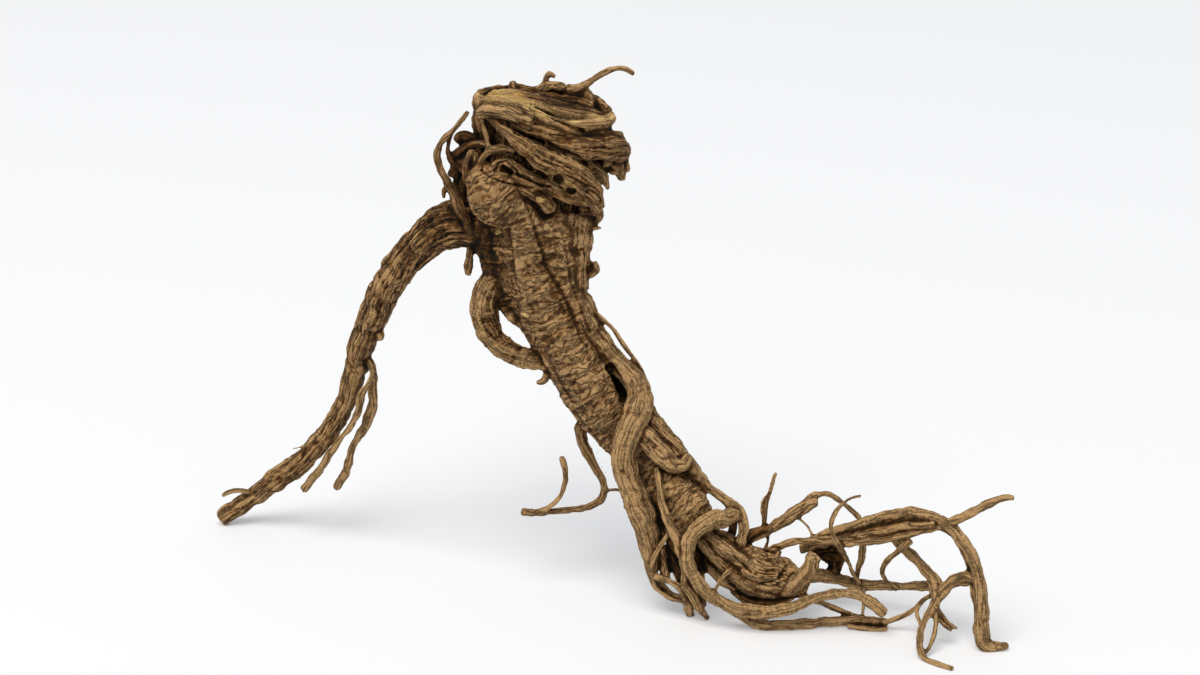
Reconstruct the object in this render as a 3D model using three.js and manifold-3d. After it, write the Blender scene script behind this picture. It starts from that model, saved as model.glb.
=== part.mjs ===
// A dried ginseng root that stands on its side roots. A broad knotted crown sits on a wrinkled taproot,
// which leans to the right and ends in a heel wrapped in rootlets. One long side root arches out to the
// left as a leg. It grew as one piece, so it is one solid. Millimetres, +Z up, the origin on the surface
// that it stands on, below the middle of its bounding box. The viewer looks along +Y and a little down.
import * as THREE from "three";
import { SimplifyModifier } from "three/addons/modifiers/SimplifyModifier.js";
import { mergeVertices } from "three/addons/utils/BufferGeometryUtils.js";
import Module from "manifold-3d";

// Driving dimensions. Every line of the root is sighted from the front: a point is [across, up, back,
// radius]. Across and up are read on an upright card, square to the line of sight and one viewing
// distance from the eye. Back is a true distance along +Y, on a scale where the card's
// centre is at cardBack. The radius is read on the card too.
const viewingDistance = 900;
const viewingTilt = THREE.MathUtils.degToRad(20);
const cardCentre = new THREE.Vector3(2.1, 31.9, 74.4);
const cardBack = 33;
const crownAxis = { x: -15, y: 21 };
const floorSlab = { size: 400, thickness: 40 };
const hollowFacets = { round: 8, down: 6 };
const turnBetweenRoots = 1.3;
const facetsKept = 11700;
const cornerGap = 0.05;

// How each kind of line is swept: the width of a facet and the gap between rings, the fewest sides, how
// deep its furrows and rings are as shares of the radius, and how flat it is.
const kinds = {
  crown: { facet: 3.2, gap: 3, leastSides: 18, furrow: 0.05, ring: 0.02, flat: 0.72, dome: 0.1 },
  trunk: { facet: 2.7, gap: 2.5, leastSides: 7, furrow: 0.085, ring: 0.02, flat: 1, dome: 0.25 },
  bands: { facet: 2.2, gap: 2.5, leastSides: 6, furrow: 0.1, ring: 0.02, flat: 0.68, dome: 0.25 },
  limbs: { facet: 2, gap: 2.6, leastSides: 5, furrow: 0.09, ring: 0.02, flat: 1, dome: 0.25 },
  rootlets: { facet: 1.6, gap: 3, leastSides: 5, furrow: 0.08, ring: 0, flat: 1, dome: 0.25 },
  twigs: { facet: 1.6, gap: 4, leastSides: 5, furrow: 0.05, ring: 0, flat: 1, dome: 0.25 },
};

const lines = {
  "crown": {
    "crownCore": [[-20.5, 27, 18, 13], [-20.5, 33, 19, 15], [-20.5, 40, 20, 16.5], [-20, 47, 21, 17],
      [-18.5, 54, 22.5, 17.5], [-17, 60, 23, 17.5], [-16.6, 66, 23, 17.5], [-16.4, 70.6, 23, 18.6],
      [-15.5, 74.7, 23.2, 20.8]],
    "crownLeft": [[-31, 58, 26, 6], [-31.4, 64, 26.5, 9], [-31.2, 70, 26.5, 10], [-30.4, 76, 25.5, 10.8]],
    "slabFront": [[-36, 75.2, 17, 2.6], [-30, 75.4, 14.5, 3.4], [-24, 74.2, 13.5, 3.6], [-18, 72.4, 13, 3.4],
      [-12, 70.8, 13, 3.2], [-6, 70, 13.5, 3.2], [-1, 69.8, 15, 3]],
    "slabMiddle": [[-36, 76, 24, 3], [-30, 75.5, 21, 4], [-24, 74.8, 20, 4], [-18, 73.4, 20, 4],
      [-12, 72.2, 20, 4], [-6, 71.6, 20.5, 3.8], [-1, 71.2, 21, 3.2]],
    "slabRear": [[-33, 76.8, 29, 3.4], [-27, 76.6, 29, 4], [-20, 75.6, 29.5, 4], [-13, 74.8, 29.5, 4],
      [-7, 74, 29, 3.6], [-2, 73, 27, 3]],
  },
  "trunk": {
    "taproot": [[-21, 38, 20, 14.5], [-20.5, 30, 19, 14], [-19.5, 21, 18, 12.8], [-17, 12, 16.5, 11.8],
      [-13.8, 4, 14.8, 10.8], [-10.4, -3.5, 13, 9.6], [-7.4, -10.5, 11.6, 8.6], [-4, -17.5, 10, 8],
      [0.8, -24.5, 8, 7.6], [6.6, -31.5, 5.8, 7], [12.6, -38, 3.4, 6.3], [18, -43.5, -0.5, 6.6],
      [22.5, -49, -4.5, 7.8], [27, -54, -7, 8], [31, -58.5, -9, 6.8], [34, -62.5, -10, 5]],
    "middleColumn": [[-25.5, 39, 11, 3.6], [-24.8, 34.5, 9.5, 6], [-23.6, 28, 10, 6.8], [-22.2, 21, 10.2, 7],
      [-19.8, 14, 10, 7.1], [-16.4, 7, 9, 7.1], [-12, 0, 7.2, 7], [-7.8, -7, 5.8, 7],
      [-3.6, -14, 4.8, 7], [0.4, -20.6, 4, 6.4], [3.2, -25.6, 3.6, 5.5], [6.2, -30.2, 3.8, 4.4],
      [9.4, -34.8, 5, 3]],
    "leftLobe": [[-36.5, 38, 19, 4], [-35.4, 32, 19, 4.8], [-34, 26, 19, 4.8], [-32, 19.5, 19, 4.4],
      [-29, 12, 18, 3.8], [-25, 5, 16.5, 3.2]],
    "rightFlank": [[-15, 41, 14, 4], [-14.6, 34, 13.4, 6], [-14.2, 26, 13, 6.6], [-13, 18, 12.6, 6.4],
      [-10.6, 10, 11.6, 6], [-7.4, 3, 10.4, 5.4], [-4, -3, 9.4, 4.6], [-1.4, -7.4, 8.8, 3.6]],
    "rightColumn": [[-9, 40, 18, 7.6], [-9.8, 32, 16.5, 7.4], [-10.2, 24, 15.5, 6.6], [-10, 16, 14.5, 6.2],
      [-7.8, 8.5, 13, 6.1], [-5, 2.6, 11.8, 5.8], [-1.2, -2.4, 10.6, 5.1], [2.8, -6.2, 9.4, 4.1],
      [6.4, -9.4, 8, 3.4], [9.9, -12.6, 6, 3.4], [12.4, -16.4, 3.2, 3.9], [12.7, -20.6, 0, 4.4],
      [11.2, -25.6, -3.6, 4.5], [9, -30.6, -6.2, 4.2], [7.4, -36, -8, 4.1], [7.7, -42, -9, 4.1],
      [9.6, -48, -10, 4.2], [12, -54, -11.5, 4.3], [14.1, -60, -12.5, 4], [15.5, -66, -13.5, 3.4],
      [16.3, -71, -14.5, 2.7], [16.5, -76, -15, 1.9]],
    "slotBack": [[-2, -3, 15.5, 3.4], [3, -8.4, 15, 3.8], [8, -15, 13, 4.2], [13, -23, 8.5, 4]],
    "shoulder": [[-39, 54, 13.5, 4.4], [-37, 50, 11, 7], [-34, 46.4, 9.6, 8.4], [-31, 43, 9.6, 8],
      [-28, 40.4, 11, 6]],
    "shoulderJoin": [[-35, 47, 9.5, 4.5], [-30.5, 43.5, 9, 6], [-26, 39.5, 9.6, 6.6], [-24, 34, 10, 6.4]],
    "shoulderFold": [[-40.4, 45.6, 14, 2.8], [-38.2, 41.4, 11, 3.6], [-34.6, 39.2, 8.8, 4],
      [-30.4, 39.4, 8, 3.8], [-27, 41.4, 8.4, 3], [-25.2, 44.6, 8.8, 2]],
    "leg": [[-37, 36, 22, 7.4], [-43.5, 36.6, 23, 7.9], [-50, 35.4, 25, 7.4], [-56.3, 30.6, 27.5, 6.3],
      [-62.1, 24.6, 30, 5.6], [-67.1, 17.8, 33, 5.2], [-70.6, 11, 35.5, 5.1], [-73.6, 4, 38, 4.5],
      [-76, -2, 40, 4.2], [-77.6, -8, 42, 4], [-79, -14, 43.5, 3.7], [-81.3, -20.5, 45, 3.5],
      [-84.6, -26.5, 46.5, 3.5], [-88.2, -32, 48, 3.5], [-92.8, -37, 49.5, 3.4], [-98, -41.5, 51, 3.6],
      [-103.5, -45, 52.5, 3.8], [-108.8, -49.2, 53.8, 3.1], [-114.2, -53.2, 54.5, 3],
      [-118.6, -56.2, 54.6, 3], [-121.4, -57.8, 54.6, 2.8]],
    "heel": [[35.5, -64, -10, 4.2], [41, -69, -13, 6], [47, -73.6, -16, 7.4], [52.8, -76, -18, 7.9],
      [58.2, -77.2, -19, 7], [62.6, -78.2, -19.5, 5], [66, -79, -19, 3]],
  },
  "limbs": {
    "loopRoot": [[-29, 19.5, 19, 4.2], [-34.6, 17.6, 18, 4.5], [-37.1, 11.4, 17, 4.3], [-36.7, 4.4, 16, 4.3],
      [-33.6, -1.2, 15, 4], [-28.7, -4.7, 14, 3.6], [-23.6, -6.6, 13, 3.3], [-18.5, -8, 12, 2.8],
      [-13.5, -8.6, 11, 2.2]],
    "foldOuter": [[12.5, -21.5, 3, 3.6], [16.6, -27, 1, 3.5], [21, -32, -1, 3.4], [25.6, -37, -3, 3.1],
      [29.6, -42, -4.5, 2.5], [33.2, -46.2, -5.5, 1.9], [37.4, -49.8, -7, 1.7], [41.6, -53, -8.5, 1.8],
      [45, -56.6, -10.5, 1.9], [46.3, -60.4, -12.5, 2], [45.6, -64.2, -14, 1.9], [44.4, -68.5, -16, 1.8]],
    "foldInner": [[10.5, -26.5, -2, 3], [14.2, -31.6, -5, 3.4], [18.4, -36.4, -7, 3.5],
      [22.2, -40.2, -8.5, 3.1],
      [25.8, -40.8, -7.5, 2.5], [28, -38.6, -5, 2]],
    "frontStrap": [[43.5, -56.5, -11, 2.2], [40, -57.8, -14.5, 2.9], [35.8, -58.6, -17, 3],
      [32, -60.7, -18.8, 2.7],
      [29.2, -64.4, -20, 2.4], [28.3, -69.2, -21, 2.2], [29.5, -74.8, -22, 2.2], [33, -80, -23.5, 2.3],
      [38.5, -84.4, -25.5, 2.4], [45, -87.3, -27.5, 2.4], [52, -88.1, -28.7, 2.3], [59, -87, -29, 2],
      [65, -84.8, -29, 1.8], [71, -82.6, -29, 1.7], [76.5, -81.8, -29, 1.8], [81.5, -82, -29.5, 1.8],
      [85.5, -84.2, -30, 1.9], [88.8, -86.6, -30.5, 2.1], [91.2, -88.2, -31, 1.8]],
    "finger": [[56.5, -82, -20, 2.2], [61, -80.2, -24, 2.7], [64.7, -76.9, -25.8, 2.9],
      [67.2, -73.2, -26.2, 2.9], [68.4, -69.8, -26.2, 2.5]],
    "topRope": [[66, -66, -11, 1.4], [70.5, -63.6, -13, 1.7], [76.5, -61.7, -15, 1.9],
      [83, -60.2, -17.5, 2.3],
      [90, -58.1, -20, 2.4], [96, -56.6, -22, 2.5], [101.5, -56.4, -24.5, 2.4], [107.5, -57.8, -27.5, 1.9],
      [112.3, -60.7, -30, 2], [116.5, -65.2, -33, 2], [119.5, -71, -35.5, 2], [121.3, -78, -37.5, 2.2],
      [122, -85, -39.5, 2.4], [122.3, -91, -40.2, 2.6], [122.2, -95.4, -40.6, 2.8], [123.8, -98.4, -40.8, 2.8],
      [127, -98.8, -40.8, 2], [130.6, -98.4, -40.8, 1]],
    "middleRope": [[64, -67.5, -10, 1.8], [70, -65.6, -11, 2], [77, -63.8, -13.5, 2.3],
      [84.5, -62.4, -16.5, 2.5],
      [92, -61.2, -19.5, 2.5], [100, -60, -23, 2.1], [107.5, -59.9, -27, 1.7], [112.8, -62.6, -30, 1.6],
      [115.8, -67.5, -31.8, 1.5], [117.9, -73, -33.8, 1.4], [119.5, -79, -36, 1.5], [120.3, -85, -38.5, 1.3],
      [121, -91, -40.5, 1.2]],
    "darkLump": [[68, -67, -9, 2.2], [72, -67.6, -8, 3.6], [75.4, -70, -8, 3.9], [75.4, -73.6, -9, 2.6],
      [73, -76.2, -11, 2]],
    "heelRibA": [[33, -61.5, -13, 1.7], [37, -65.6, -16.4, 2.2], [41.5, -69.2, -19.4, 2.6],
      [46.5, -72.2, -20.6, 2.5], [51.4, -74.4, -21, 2.2], [55.6, -76, -20.4, 1.8]],
    "heelRibB": [[31.8, -64.6, -14, 1.7], [36, -69.3, -17, 2.1], [40.5, -73.4, -19.4, 2.4],
      [45, -77, -21, 2.6], [50, -79.9, -21.8, 2.6], [55, -81.6, -22, 2.2], [60, -81.8, -20.6, 1.7]],
    "heelRibC": [[31.5, -68.5, -12, 1.6], [35, -73.6, -14, 1.8], [39, -77.2, -16.5, 1.9],
      [44, -80.4, -18.5, 1.8]],
    "knob": [[13.5, -52.5, -8, 2.6], [10.2, -54.3, -7, 2.7], [8.9, -55.6, -7, 2]],
    "backBranch": [[-1, -20, 11, 3], [-5, -26, 12, 2.7], [-6, -31, 12, 2.3], [-4.4, -36.4, 12, 1.9],
      [-2, -41, 11.5, 1.6], [0.3, -45, 11, 1.4], [1.4, -48.5, 10.5, 1.3], [0.4, -51.6, 10, 1.4],
      [-3.4, -54, 10, 1.3], [-9.5, -55, 9.5, 1.15], [-16, -55.8, 9, 1.2], [-21.5, -56, 8.5, 1.35],
      [-25, -55.8, 8, 1.5]],
    "armlessRope": [[43, -69, -12, 2.2], [47.8, -64.4, -9.5, 2.1], [53, -61.8, -7.5, 1.9], [58, -59, -5, 2.1],
      [62.5, -56, -3.5, 2.3], [66.5, -53.6, -2.5, 2.3], [69.8, -52.4, -2, 2]],
    "farRootlet": [[64, -77.5, -15, 2.4], [70, -76.4, -13, 2.6], [77, -77.8, -12, 2.1], [84, -79.2, -13, 1.8],
      [91, -79.3, -15.5, 1.7], [98, -79.5, -18.5, 1.7], [105, -79.6, -21.5, 1.8], [110.5, -79.3, -25, 1.5],
      [115.5, -78.4, -29.5, 1.5], [119.6, -77.4, -35, 1.6]],
    "forkRootlet": [[93.5, -63.5, -21, 1.9], [97.3, -67.3, -20.5, 1.8], [101.2, -71.2, -22, 1.7],
      [104.8, -75, -25, 1.8], [107.1, -78.4, -28, 2.2], [107.7, -82, -31, 2.2], [106.5, -86, -35, 1.8],
      [104.2, -90, -39, 1.45], [102.7, -94.5, -42.5, 1.4], [102.5, -98.8, -45.2, 1.3],
      [103.8, -102.2, -47.6, 1.2], [108, -104.4, -51.2, 1.15], [112.8, -106, -54.7, 1.15]],
    "lightFork": [[107.2, -84, -31.5, 1.9], [110.2, -80.8, -32, 2.1], [113.3, -77.7, -33.5, 1.8],
      [116.6, -76.3, -35.2, 1.6], [120, -77.2, -37, 1.8]],
    "floorRope": [[41.5, -86, -25.5, 1.8], [47, -90, -25.5, 2], [53, -92.2, -26.4, 1.9], [60, -92, -26, 1.8],
      [67, -91.4, -24.9, 1.8], [74, -91, -24.2, 1.85], [81, -91, -24.2, 1.95], [87, -91.2, -24.6, 1.95],
      [92, -91.4, -24.9, 1.7]],
  },
  "bands": {
    "slabRimFront": [[-39.4, 77.2, 24, 1.9], [-38.4, 75.8, 16, 2.2], [-34.8, 75.6, 11.5, 2.1],
      [-29.4, 75.6, 9, 2], [-24.4, 74, 7.8, 1.8], [-19.8, 71.6, 7.2, 1.8], [-15, 69.4, 6.8, 1.9],
      [-10, 68.2, 7, 2], [-4, 68.2, 8.6, 2.2], [0.6, 68.6, 11.6, 2.4], [3.4, 69.6, 16.4, 2.4],
      [4, 71.4, 23, 2.2]],
    "slabRimBack": [[-38.9, 77.3, 25, 1.9], [-36.8, 78.5, 31, 1.9], [-32.6, 79.1, 34, 1.9],
      [-27.5, 79.8, 35.5, 2],
      [-22, 79.2, 36, 1.8], [-16, 79.1, 36, 1.9], [-10, 77.9, 35.5, 2.1], [-4.6, 76.7, 33.5, 2.4],
      [-0.4, 74.8, 30.5, 2.6], [2.6, 72, 26, 2.6]],
    "slabSwell": [[-36.4, 76.8, 19, 2], [-31, 78.2, 21, 3], [-25, 77.4, 23, 2.8], [-19, 76, 23, 2.2]],
    "slabRidge": [[-22, 73.6, 9.6, 1.2], [-17.4, 73.6, 14, 1.7], [-12.6, 72.6, 18, 1.6], [-7, 73.2, 21, 1.8],
      [-2.4, 72.2, 20, 1.4]],
    "slabKnob": [[-9, 77.4, 31, 2.4], [-5, 77.6, 30, 2.4], [-2, 75.8, 28, 1.8]],
    "layerTwo": [[-29, 71.4, 10.5, 2.4], [-25, 69, 8.2, 3], [-20, 66.6, 7, 2.9], [-14.5, 65, 6.8, 2.5],
      [-8.5, 64.4, 7.6, 2.2], [-1.5, 64.5, 10, 2.1], [4.4, 64.6, 15, 2], [7, 64.6, 21, 1.8]],
    "layerThree": [[-17.6, 63, 7.5, 1.7], [-13, 61.6, 6.4, 2.8], [-6.4, 60.7, 6.4, 3.6],
      [0.4, 60.4, 8.8, 3.9],
      [5.4, 60.2, 12.6, 3.9], [7.4, 59.8, 17.6, 3.7], [7.8, 59.6, 23, 3.2]],
    "diagonalStrap": [[-36.4, 70.9, 11.5, 1.2], [-33.6, 68.4, 9, 1.6], [-30, 65.5, 7.2, 2.1],
      [-26.4, 62.8, 6, 2.8],
      [-22, 59.6, 5, 3.4], [-17, 56.3, 4, 4], [-12, 53.4, 3.6, 4.6], [-7.4, 50.5, 4.2, 4.8],
      [-3.8, 47.4, 6, 4.5], [-1.4, 44.4, 9, 3.6], [-0.8, 41.4, 12, 2.8]],
    "chin": [[-17, 49.4, 7.5, 2.2], [-12.6, 46.9, 6.2, 3], [-8, 45.5, 6.2, 3], [-3, 44.8, 8, 2.8],
      [0.2, 45.2, 12, 2.5]],
    "jaw": [[-6, 41.4, 11.5, 2], [-2, 41, 12.5, 2.4], [-0.4, 38.6, 14.5, 2.4], [-2.4, 36.4, 16, 2.2]],
    "spindle": [[-30, 57.4, 10, 1.1], [-26, 54, 8.5, 1.7], [-21.6, 51, 7.5, 1.9], [-17.4, 49, 7.2, 1.4]],
    "earArc": [[-37.4, 51.6, 9.5, 1.5], [-38, 56, 10.5, 1.6], [-35.6, 59.6, 10.5, 1.7],
      [-31, 60.6, 10, 1.7], [-27, 59.6, 9.5, 1.2]],
    "earInner": [[-33.6, 51.4, 8.5, 1.3], [-33.8, 54.8, 9, 1.7], [-31, 56.6, 9, 1.7],
      [-28.2, 54.6, 8.5, 1.4]],
    "chest": [[-28.5, 51, 9, 2.4], [-23.4, 47.6, 7.2, 3.4], [-18.6, 44.4, 7, 3.3], [-15.4, 41, 9, 2.5]],
    "sideRidge": [[-38.4, 73.6, 18, 1.3], [-37.6, 69.4, 15, 1.4], [-36.4, 65, 13, 1.5],
      [-35.6, 60.6, 12, 1.4]],
    "leftEdge": [[-38.6, 73.6, 22, 2], [-38.8, 68.8, 22, 2], [-37.6, 64.6, 21.5, 1.8], [-36.4, 61, 20, 1.8]],
    "rearBandA": [[6, 58, 24, 3], [1, 58.6, 30, 3.2], [-8, 61, 34, 3.4], [-19, 63, 35.5, 3.4],
      [-30, 64, 34.5, 3], [-37, 63.6, 28, 2.6]],
    "rearBandB": [[2.4, 66, 27, 2.8], [-5, 69.4, 33, 3], [-16, 71.6, 36.5, 3], [-28, 72, 35.5, 2.8],
      [-36.4, 71, 29.5, 2.6]],
    "rearStrap": [[-37.6, 58, 25, 2.4], [-34, 53, 29.5, 3], [-26, 49, 32.5, 3.4], [-16, 45.4, 32.5, 3.6],
      [-7, 42, 29.5, 3.2], [-3.4, 39.6, 25, 2.6]],
    "rearFold": [[0, 50, 25, 2.8], [-5, 52, 30.5, 3.2], [-15, 54.4, 34.5, 3.4], [-27, 56.6, 34, 3.2],
      [-35, 56, 29.5, 2.8]],
  },
  "rootlets": {
    "outerLoop": [[-42.3, 72.4, 18, 0.8], [-44.4, 69.4, 17.5, 1], [-46.7, 66.5, 17, 1.05],
      [-49.6, 64, 16, 1.15], [-51.7, 61, 15.5, 1.25], [-52.2, 57.3, 15, 1.35], [-50.9, 53.3, 14.5, 1.45],
      [-48.6, 49.7, 14, 1.65], [-46.6, 45.8, 14, 1.8], [-44.9, 42, 14.5, 1.9], [-43.1, 38, 15, 1.6],
      [-41.4, 33.6, 16, 1.4], [-39.6, 29.6, 18, 1.2]],
    "innerLoop": [[-46.9, 66.6, 17, 0.9], [-48.4, 62.6, 17.5, 0.95], [-48.5, 58.8, 18, 1],
      [-46.6, 55.6, 18, 1.1], [-43.6, 53.6, 17, 1.4]],
    "crossTwist": [[-48.2, 56.6, 18.5, 1.3], [-45.4, 58.8, 19, 1.5], [-42, 61.2, 19, 1.4],
      [-38.6, 62, 19, 1.6], [-35.4, 61.2, 18, 1.5]],
    "darkKnot": [[-46.2, 62.6, 20, 1.4], [-44.6, 64, 21, 2.2], [-42.4, 63.8, 21, 2.1],
      [-39.6, 62.6, 21, 1.6]],
    "gillA": [[-40.7, 60, 14, 1.1], [-42.4, 56, 13, 1.5], [-42.8, 51.6, 12.5, 1.7], [-40.8, 47.4, 12, 1.8]],
    "gillB": [[-39.8, 59, 14, 1.2], [-39.6, 54.6, 11.5, 1.4], [-38, 50, 9, 1.5], [-35.4, 46.4, 6.5, 1.5]],
    "darkWeb": [[-47.4, 51.4, 18, 1.7], [-45.4, 55, 19, 2.3], [-43, 58.4, 20, 2.4], [-38, 60.6, 20, 3]],
    "darkWebLow": [[-46.4, 40, 20, 2], [-45.2, 45, 20, 2.6], [-44, 50, 20, 2.8], [-40, 55, 20, 3.4]],
    "spur": [[-47.4, 49, 15, 1.5], [-49.7, 47.2, 15.5, 1.1], [-49.9, 44.4, 15.5, 0.6]],
    "hangingNub": [[-41.4, 31, 19, 1.6], [-41.6, 26.8, 18.5, 1.5], [-42, 23, 18.5, 1.8],
      [-42.2, 20, 18.5, 1.3]],
    "paleChip": [[-29.6, 35.6, 9, 1.3], [-33.6, 33.2, 8, 1]],
    "darkNub": [[-24, 8.6, 15, 2.4], [-28, 6.8, 15, 2.5], [-29.8, 6.4, 15, 1.7]],
    "curl": [[-18, -7.6, 12, 1.4], [-17.2, -10.6, 11.5, 1.25], [-17.1, -12.8, 11, 1.25],
      [-18.5, -14.2, 11, 1.15], [-20.3, -14, 11, 0.8]],
    "edgeRootlet": [[-2.6, 8.6, 12.5, 1.2], [1.4, 4.6, 11, 0.95], [4.1, 2, 10.5, 0.9], [6.4, -1.5, 10, 0.8],
      [9.1, -5.5, 9.5, 0.8], [12.6, -9.6, 8.5, 0.75], [14.6, -13.6, 6.5, 0.8]],
    "crownTwig": [[-10, 78.8, 31, 2.2], [-5.6, 80.4, 29.5, 1.5], [-2.6, 82.1, 29, 1.25],
      [0.4, 84.2, 28.5, 1.1],
      [4, 85.7, 28, 1.05], [8, 85.9, 27.5, 1.05], [11, 84.5, 27.5, 0.85]],
    "crownStub": [[-17.7, 79.4, 36, 1.3], [-17.4, 82.4, 36, 1], [-16.2, 84.4, 36, 1], [-14.4, 83.3, 36, 0.6]],
    "flakeA": [[2.6, 57, 17, 3.2], [5.2, 53.6, 18, 2.7], [6.9, 51, 18, 1.9], [7.8, 48.9, 18, 0.8]],
    "flakeB": [[6, 58, 21, 2.6], [7.9, 54.8, 20.4, 1.7], [9.3, 52, 20, 0.7]],
    "flakeC": [[-5, 54, 16, 3], [-0.6, 51.8, 15, 2.3], [1.8, 50.2, 14.6, 1.6], [3, 48.2, 14.6, 0.9],
      [3.1, 46.8, 15, 0.5]],
    "ringStub": [[-6, 20.6, 15.5, 1.7], [-3, 20.8, 14.5, 1.8], [-1, 22.2, 14, 1.5], [-1.6, 24.6, 14, 1]],
    "edgeLump": [[-6.4, 36.4, 17, 2.4], [-4.6, 33, 17, 2.4], [-4.4, 29.6, 17, 2.2], [-6, 26, 17, 2]],
    "straightTwig": [[-5, 34.2, 15, 0.8], [-2, 34.7, 14, 0.6], [0.4, 35.2, 14, 0.5]],
    "legRootletA": [[-75.2, -6, 39.5, 1.3], [-72.9, -10.6, 37.5, 1.1], [-73.5, -14, 36.5, 1.2],
      [-76.2, -18, 36.5, 1.4], [-77.3, -23, 37.5, 1.3], [-79.5, -28, 38.5, 1.1], [-83, -32.3, 39.5, 1.1],
      [-86, -36.8, 40.5, 1.15], [-88.7, -41, 41.5, 1.35], [-91.3, -44.5, 42.5, 1.5], [-95, -48.6, 43.5, 1.3]],
    "legRootletB": [[-75.6, -5, 41, 1.4], [-72.4, -10.5, 40, 1.25], [-72.7, -15.4, 40, 1.6],
      [-73, -20.6, 40.5, 1.75], [-74.2, -25.5, 41, 1.7], [-76.6, -30.3, 41.5, 1.6], [-79.2, -34.8, 42, 1.25],
      [-80.2, -39.5, 42.5, 1.3], [-81.8, -43.5, 43, 1.55], [-84.3, -48.3, 43.5, 1.55]],
    "legNub": [[-73, 2.6, 36, 1.6], [-70.5, 1, 35.5, 1.8], [-70.4, -0.9, 35.5, 1.6]],
    "legTwig": [[-110, -50.4, 53, 1.5], [-114.6, -49, 52, 1.1], [-118.4, -49.3, 51.5, 0.95],
      [-120.9, -50.7, 51, 0.7]],
    "backFork": [[-21, -56, 8.5, 1], [-16.4, -54.3, 8, 0.95], [-13, -51, 7.5, 0.95], [-11.3, -47.4, 7, 1],
      [-11, -43.4, 7, 1.05], [-12.2, -38.2, 7, 1]],
    "frontRootlet": [[18.2, -42, -7, 1.1], [18.9, -46.6, -11.5, 1.3], [20, -53, -14.5, 1.4],
      [22, -59, -16.5, 1.5],
      [24.5, -64.5, -18.3, 1.6], [26.3, -70, -19.5, 1.6], [27.2, -76, -20.5, 1.6], [27.4, -81, -20, 1.8],
      [28.2, -86, -18, 1.6], [28.8, -89.2, -16.4, 1.35]],
    "secondToe": [[27.3, -78, -20.5, 1.7], [29.8, -83.2, -21.2, 1.7], [32.4, -87.4, -20.4, 1.4],
      [34.4, -90.1, -19.4, 1.15]],
    "darkWedge": [[26.6, -69, -14, 2.2], [29.2, -75.6, -16.5, 2.7], [31.4, -81.4, -18.5, 2.5],
      [32.8, -86.4, -20, 1.6]],
    "twistA": [[15.8, -75.4, -15.5, 1.3], [17, -71.4, -17.2, 1.15], [19, -67.4, -17.6, 1.05],
      [20.9, -64.3, -17.4, 0.95], [22.8, -61.4, -16.6, 0.9]],
    "twistB": [[15.8, -75.2, -15, 1.4], [18.6, -76.8, -17, 1.15], [22.5, -78.2, -18.8, 1.15],
      [25.8, -80.6, -20.2, 1.3], [27.4, -84, -20.6, 1.2]],
    "heelArc": [[15.8, -75.6, -15, 1.2], [17.6, -79.4, -15, 1.05], [20.6, -82.2, -15.8, 0.95],
      [24.6, -84.2, -17.6, 0.85], [27.8, -84.6, -19.6, 0.8]],
    "heelArcInner": [[16.2, -76, -14, 1], [20, -79, -14.6, 0.9], [23.2, -82.2, -16, 0.85],
      [26.8, -83, -18.8, 0.8]],
    "innerLight": [[16.4, -61, -10.5, 1.6], [19.2, -68, -12.4, 1.8], [20.7, -74, -14.4, 1.7],
      [21.6, -78.4, -18, 1.3]],
    "innerDark": [[22, -58, -8, 2], [23.4, -66, -11, 2.2], [24.8, -72.5, -13.5, 2.2],
      [26.4, -78.4, -17.6, 1.8]],
    "crossLink": [[42.4, -73.4, -21, 1], [40, -75.8, -22.6, 0.95], [38, -78.6, -23.6, 0.85],
      [36.4, -82, -24.6, 0.8]],
    "loopOver": [[63, -55, -2.8, 1.4], [67.4, -51.2, -1.6, 1.2], [71, -50.1, -1, 1.1],
      [74.6, -50.8, -1, 1.05],
      [78, -53.2, -2, 1.05], [81.2, -56, -4.5, 1.05], [84, -59.2, -9, 1.1], [86, -61.6, -14, 1.1]],
    "darkJoint": [[44.4, -67, -13, 1.5], [47.2, -63.6, -11.6, 1.6], [50.4, -61.8, -9.6, 1.4],
      [54.6, -60.6, -7.4, 1.2]],
    "uprightTwig": [[52.2, -69.4, -13, 0.9], [53.7, -64.4, -8, 0.8], [52.7, -60.4, -7.8, 1.1],
      [52.6, -57, -8, 1.05], [53.2, -53.5, -8, 1], [54.2, -50, -8, 0.8], [55.2, -47, -8, 0.7],
      [55.8, -44.6, -8, 0.7], [56.4, -43.2, -8, 0.6]],
    "lowRope": [[54, -69, -14, 1.8], [59.4, -65.8, -14.2, 1.4], [66, -65, -15.5, 1.3],
      [74, -65.3, -17.5, 1.7],
      [82, -65, -20, 1.8], [90, -64.2, -22.5, 1.7], [98, -62.6, -25, 1.6], [106, -60.8, -27.8, 1.5],
      [112, -59.2, -30, 1.5], [118, -56.6, -32, 1.5], [124, -53.7, -33.5, 1.45], [129, -51.4, -34.5, 1.2],
      [132.6, -51.4, -35.5, 0.8]],
    "ropeKnot": [[97, -57, -21.4, 1.6], [99.6, -54.9, -22.6, 1.3], [101.4, -55.2, -23.6, 1.2]],
    "curlDown": [[99, -64.6, -25, 1.5], [95.6, -68.2, -26, 1.2], [92, -71.2, -25.6, 1.05],
      [90.2, -74.6, -23.6, 1],
      [91.5, -77.9, -20.4, 1], [95, -80.6, -18.4, 0.95]],
    "overTwig": [[83.6, -50.8, -18, 0.75], [80.5, -51.4, -19, 0.75], [77.3, -53.8, -20, 0.8],
      [74.9, -56.8, -21, 0.85], [73.9, -60.6, -21.6, 0.85], [75, -64.5, -21.6, 0.85],
      [77.5, -68.3, -20.4, 0.85], [79.6, -72, -18.6, 0.9], [81, -75.5, -16.6, 0.9], [83, -78.7, -14.8, 0.9]],
    "strut": [[84, -64, -18.5, 1.2], [83.9, -69, -17, 1.15], [83, -73.4, -15.2, 1.05], [81.8, -78.6, -13, 1]],
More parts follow.
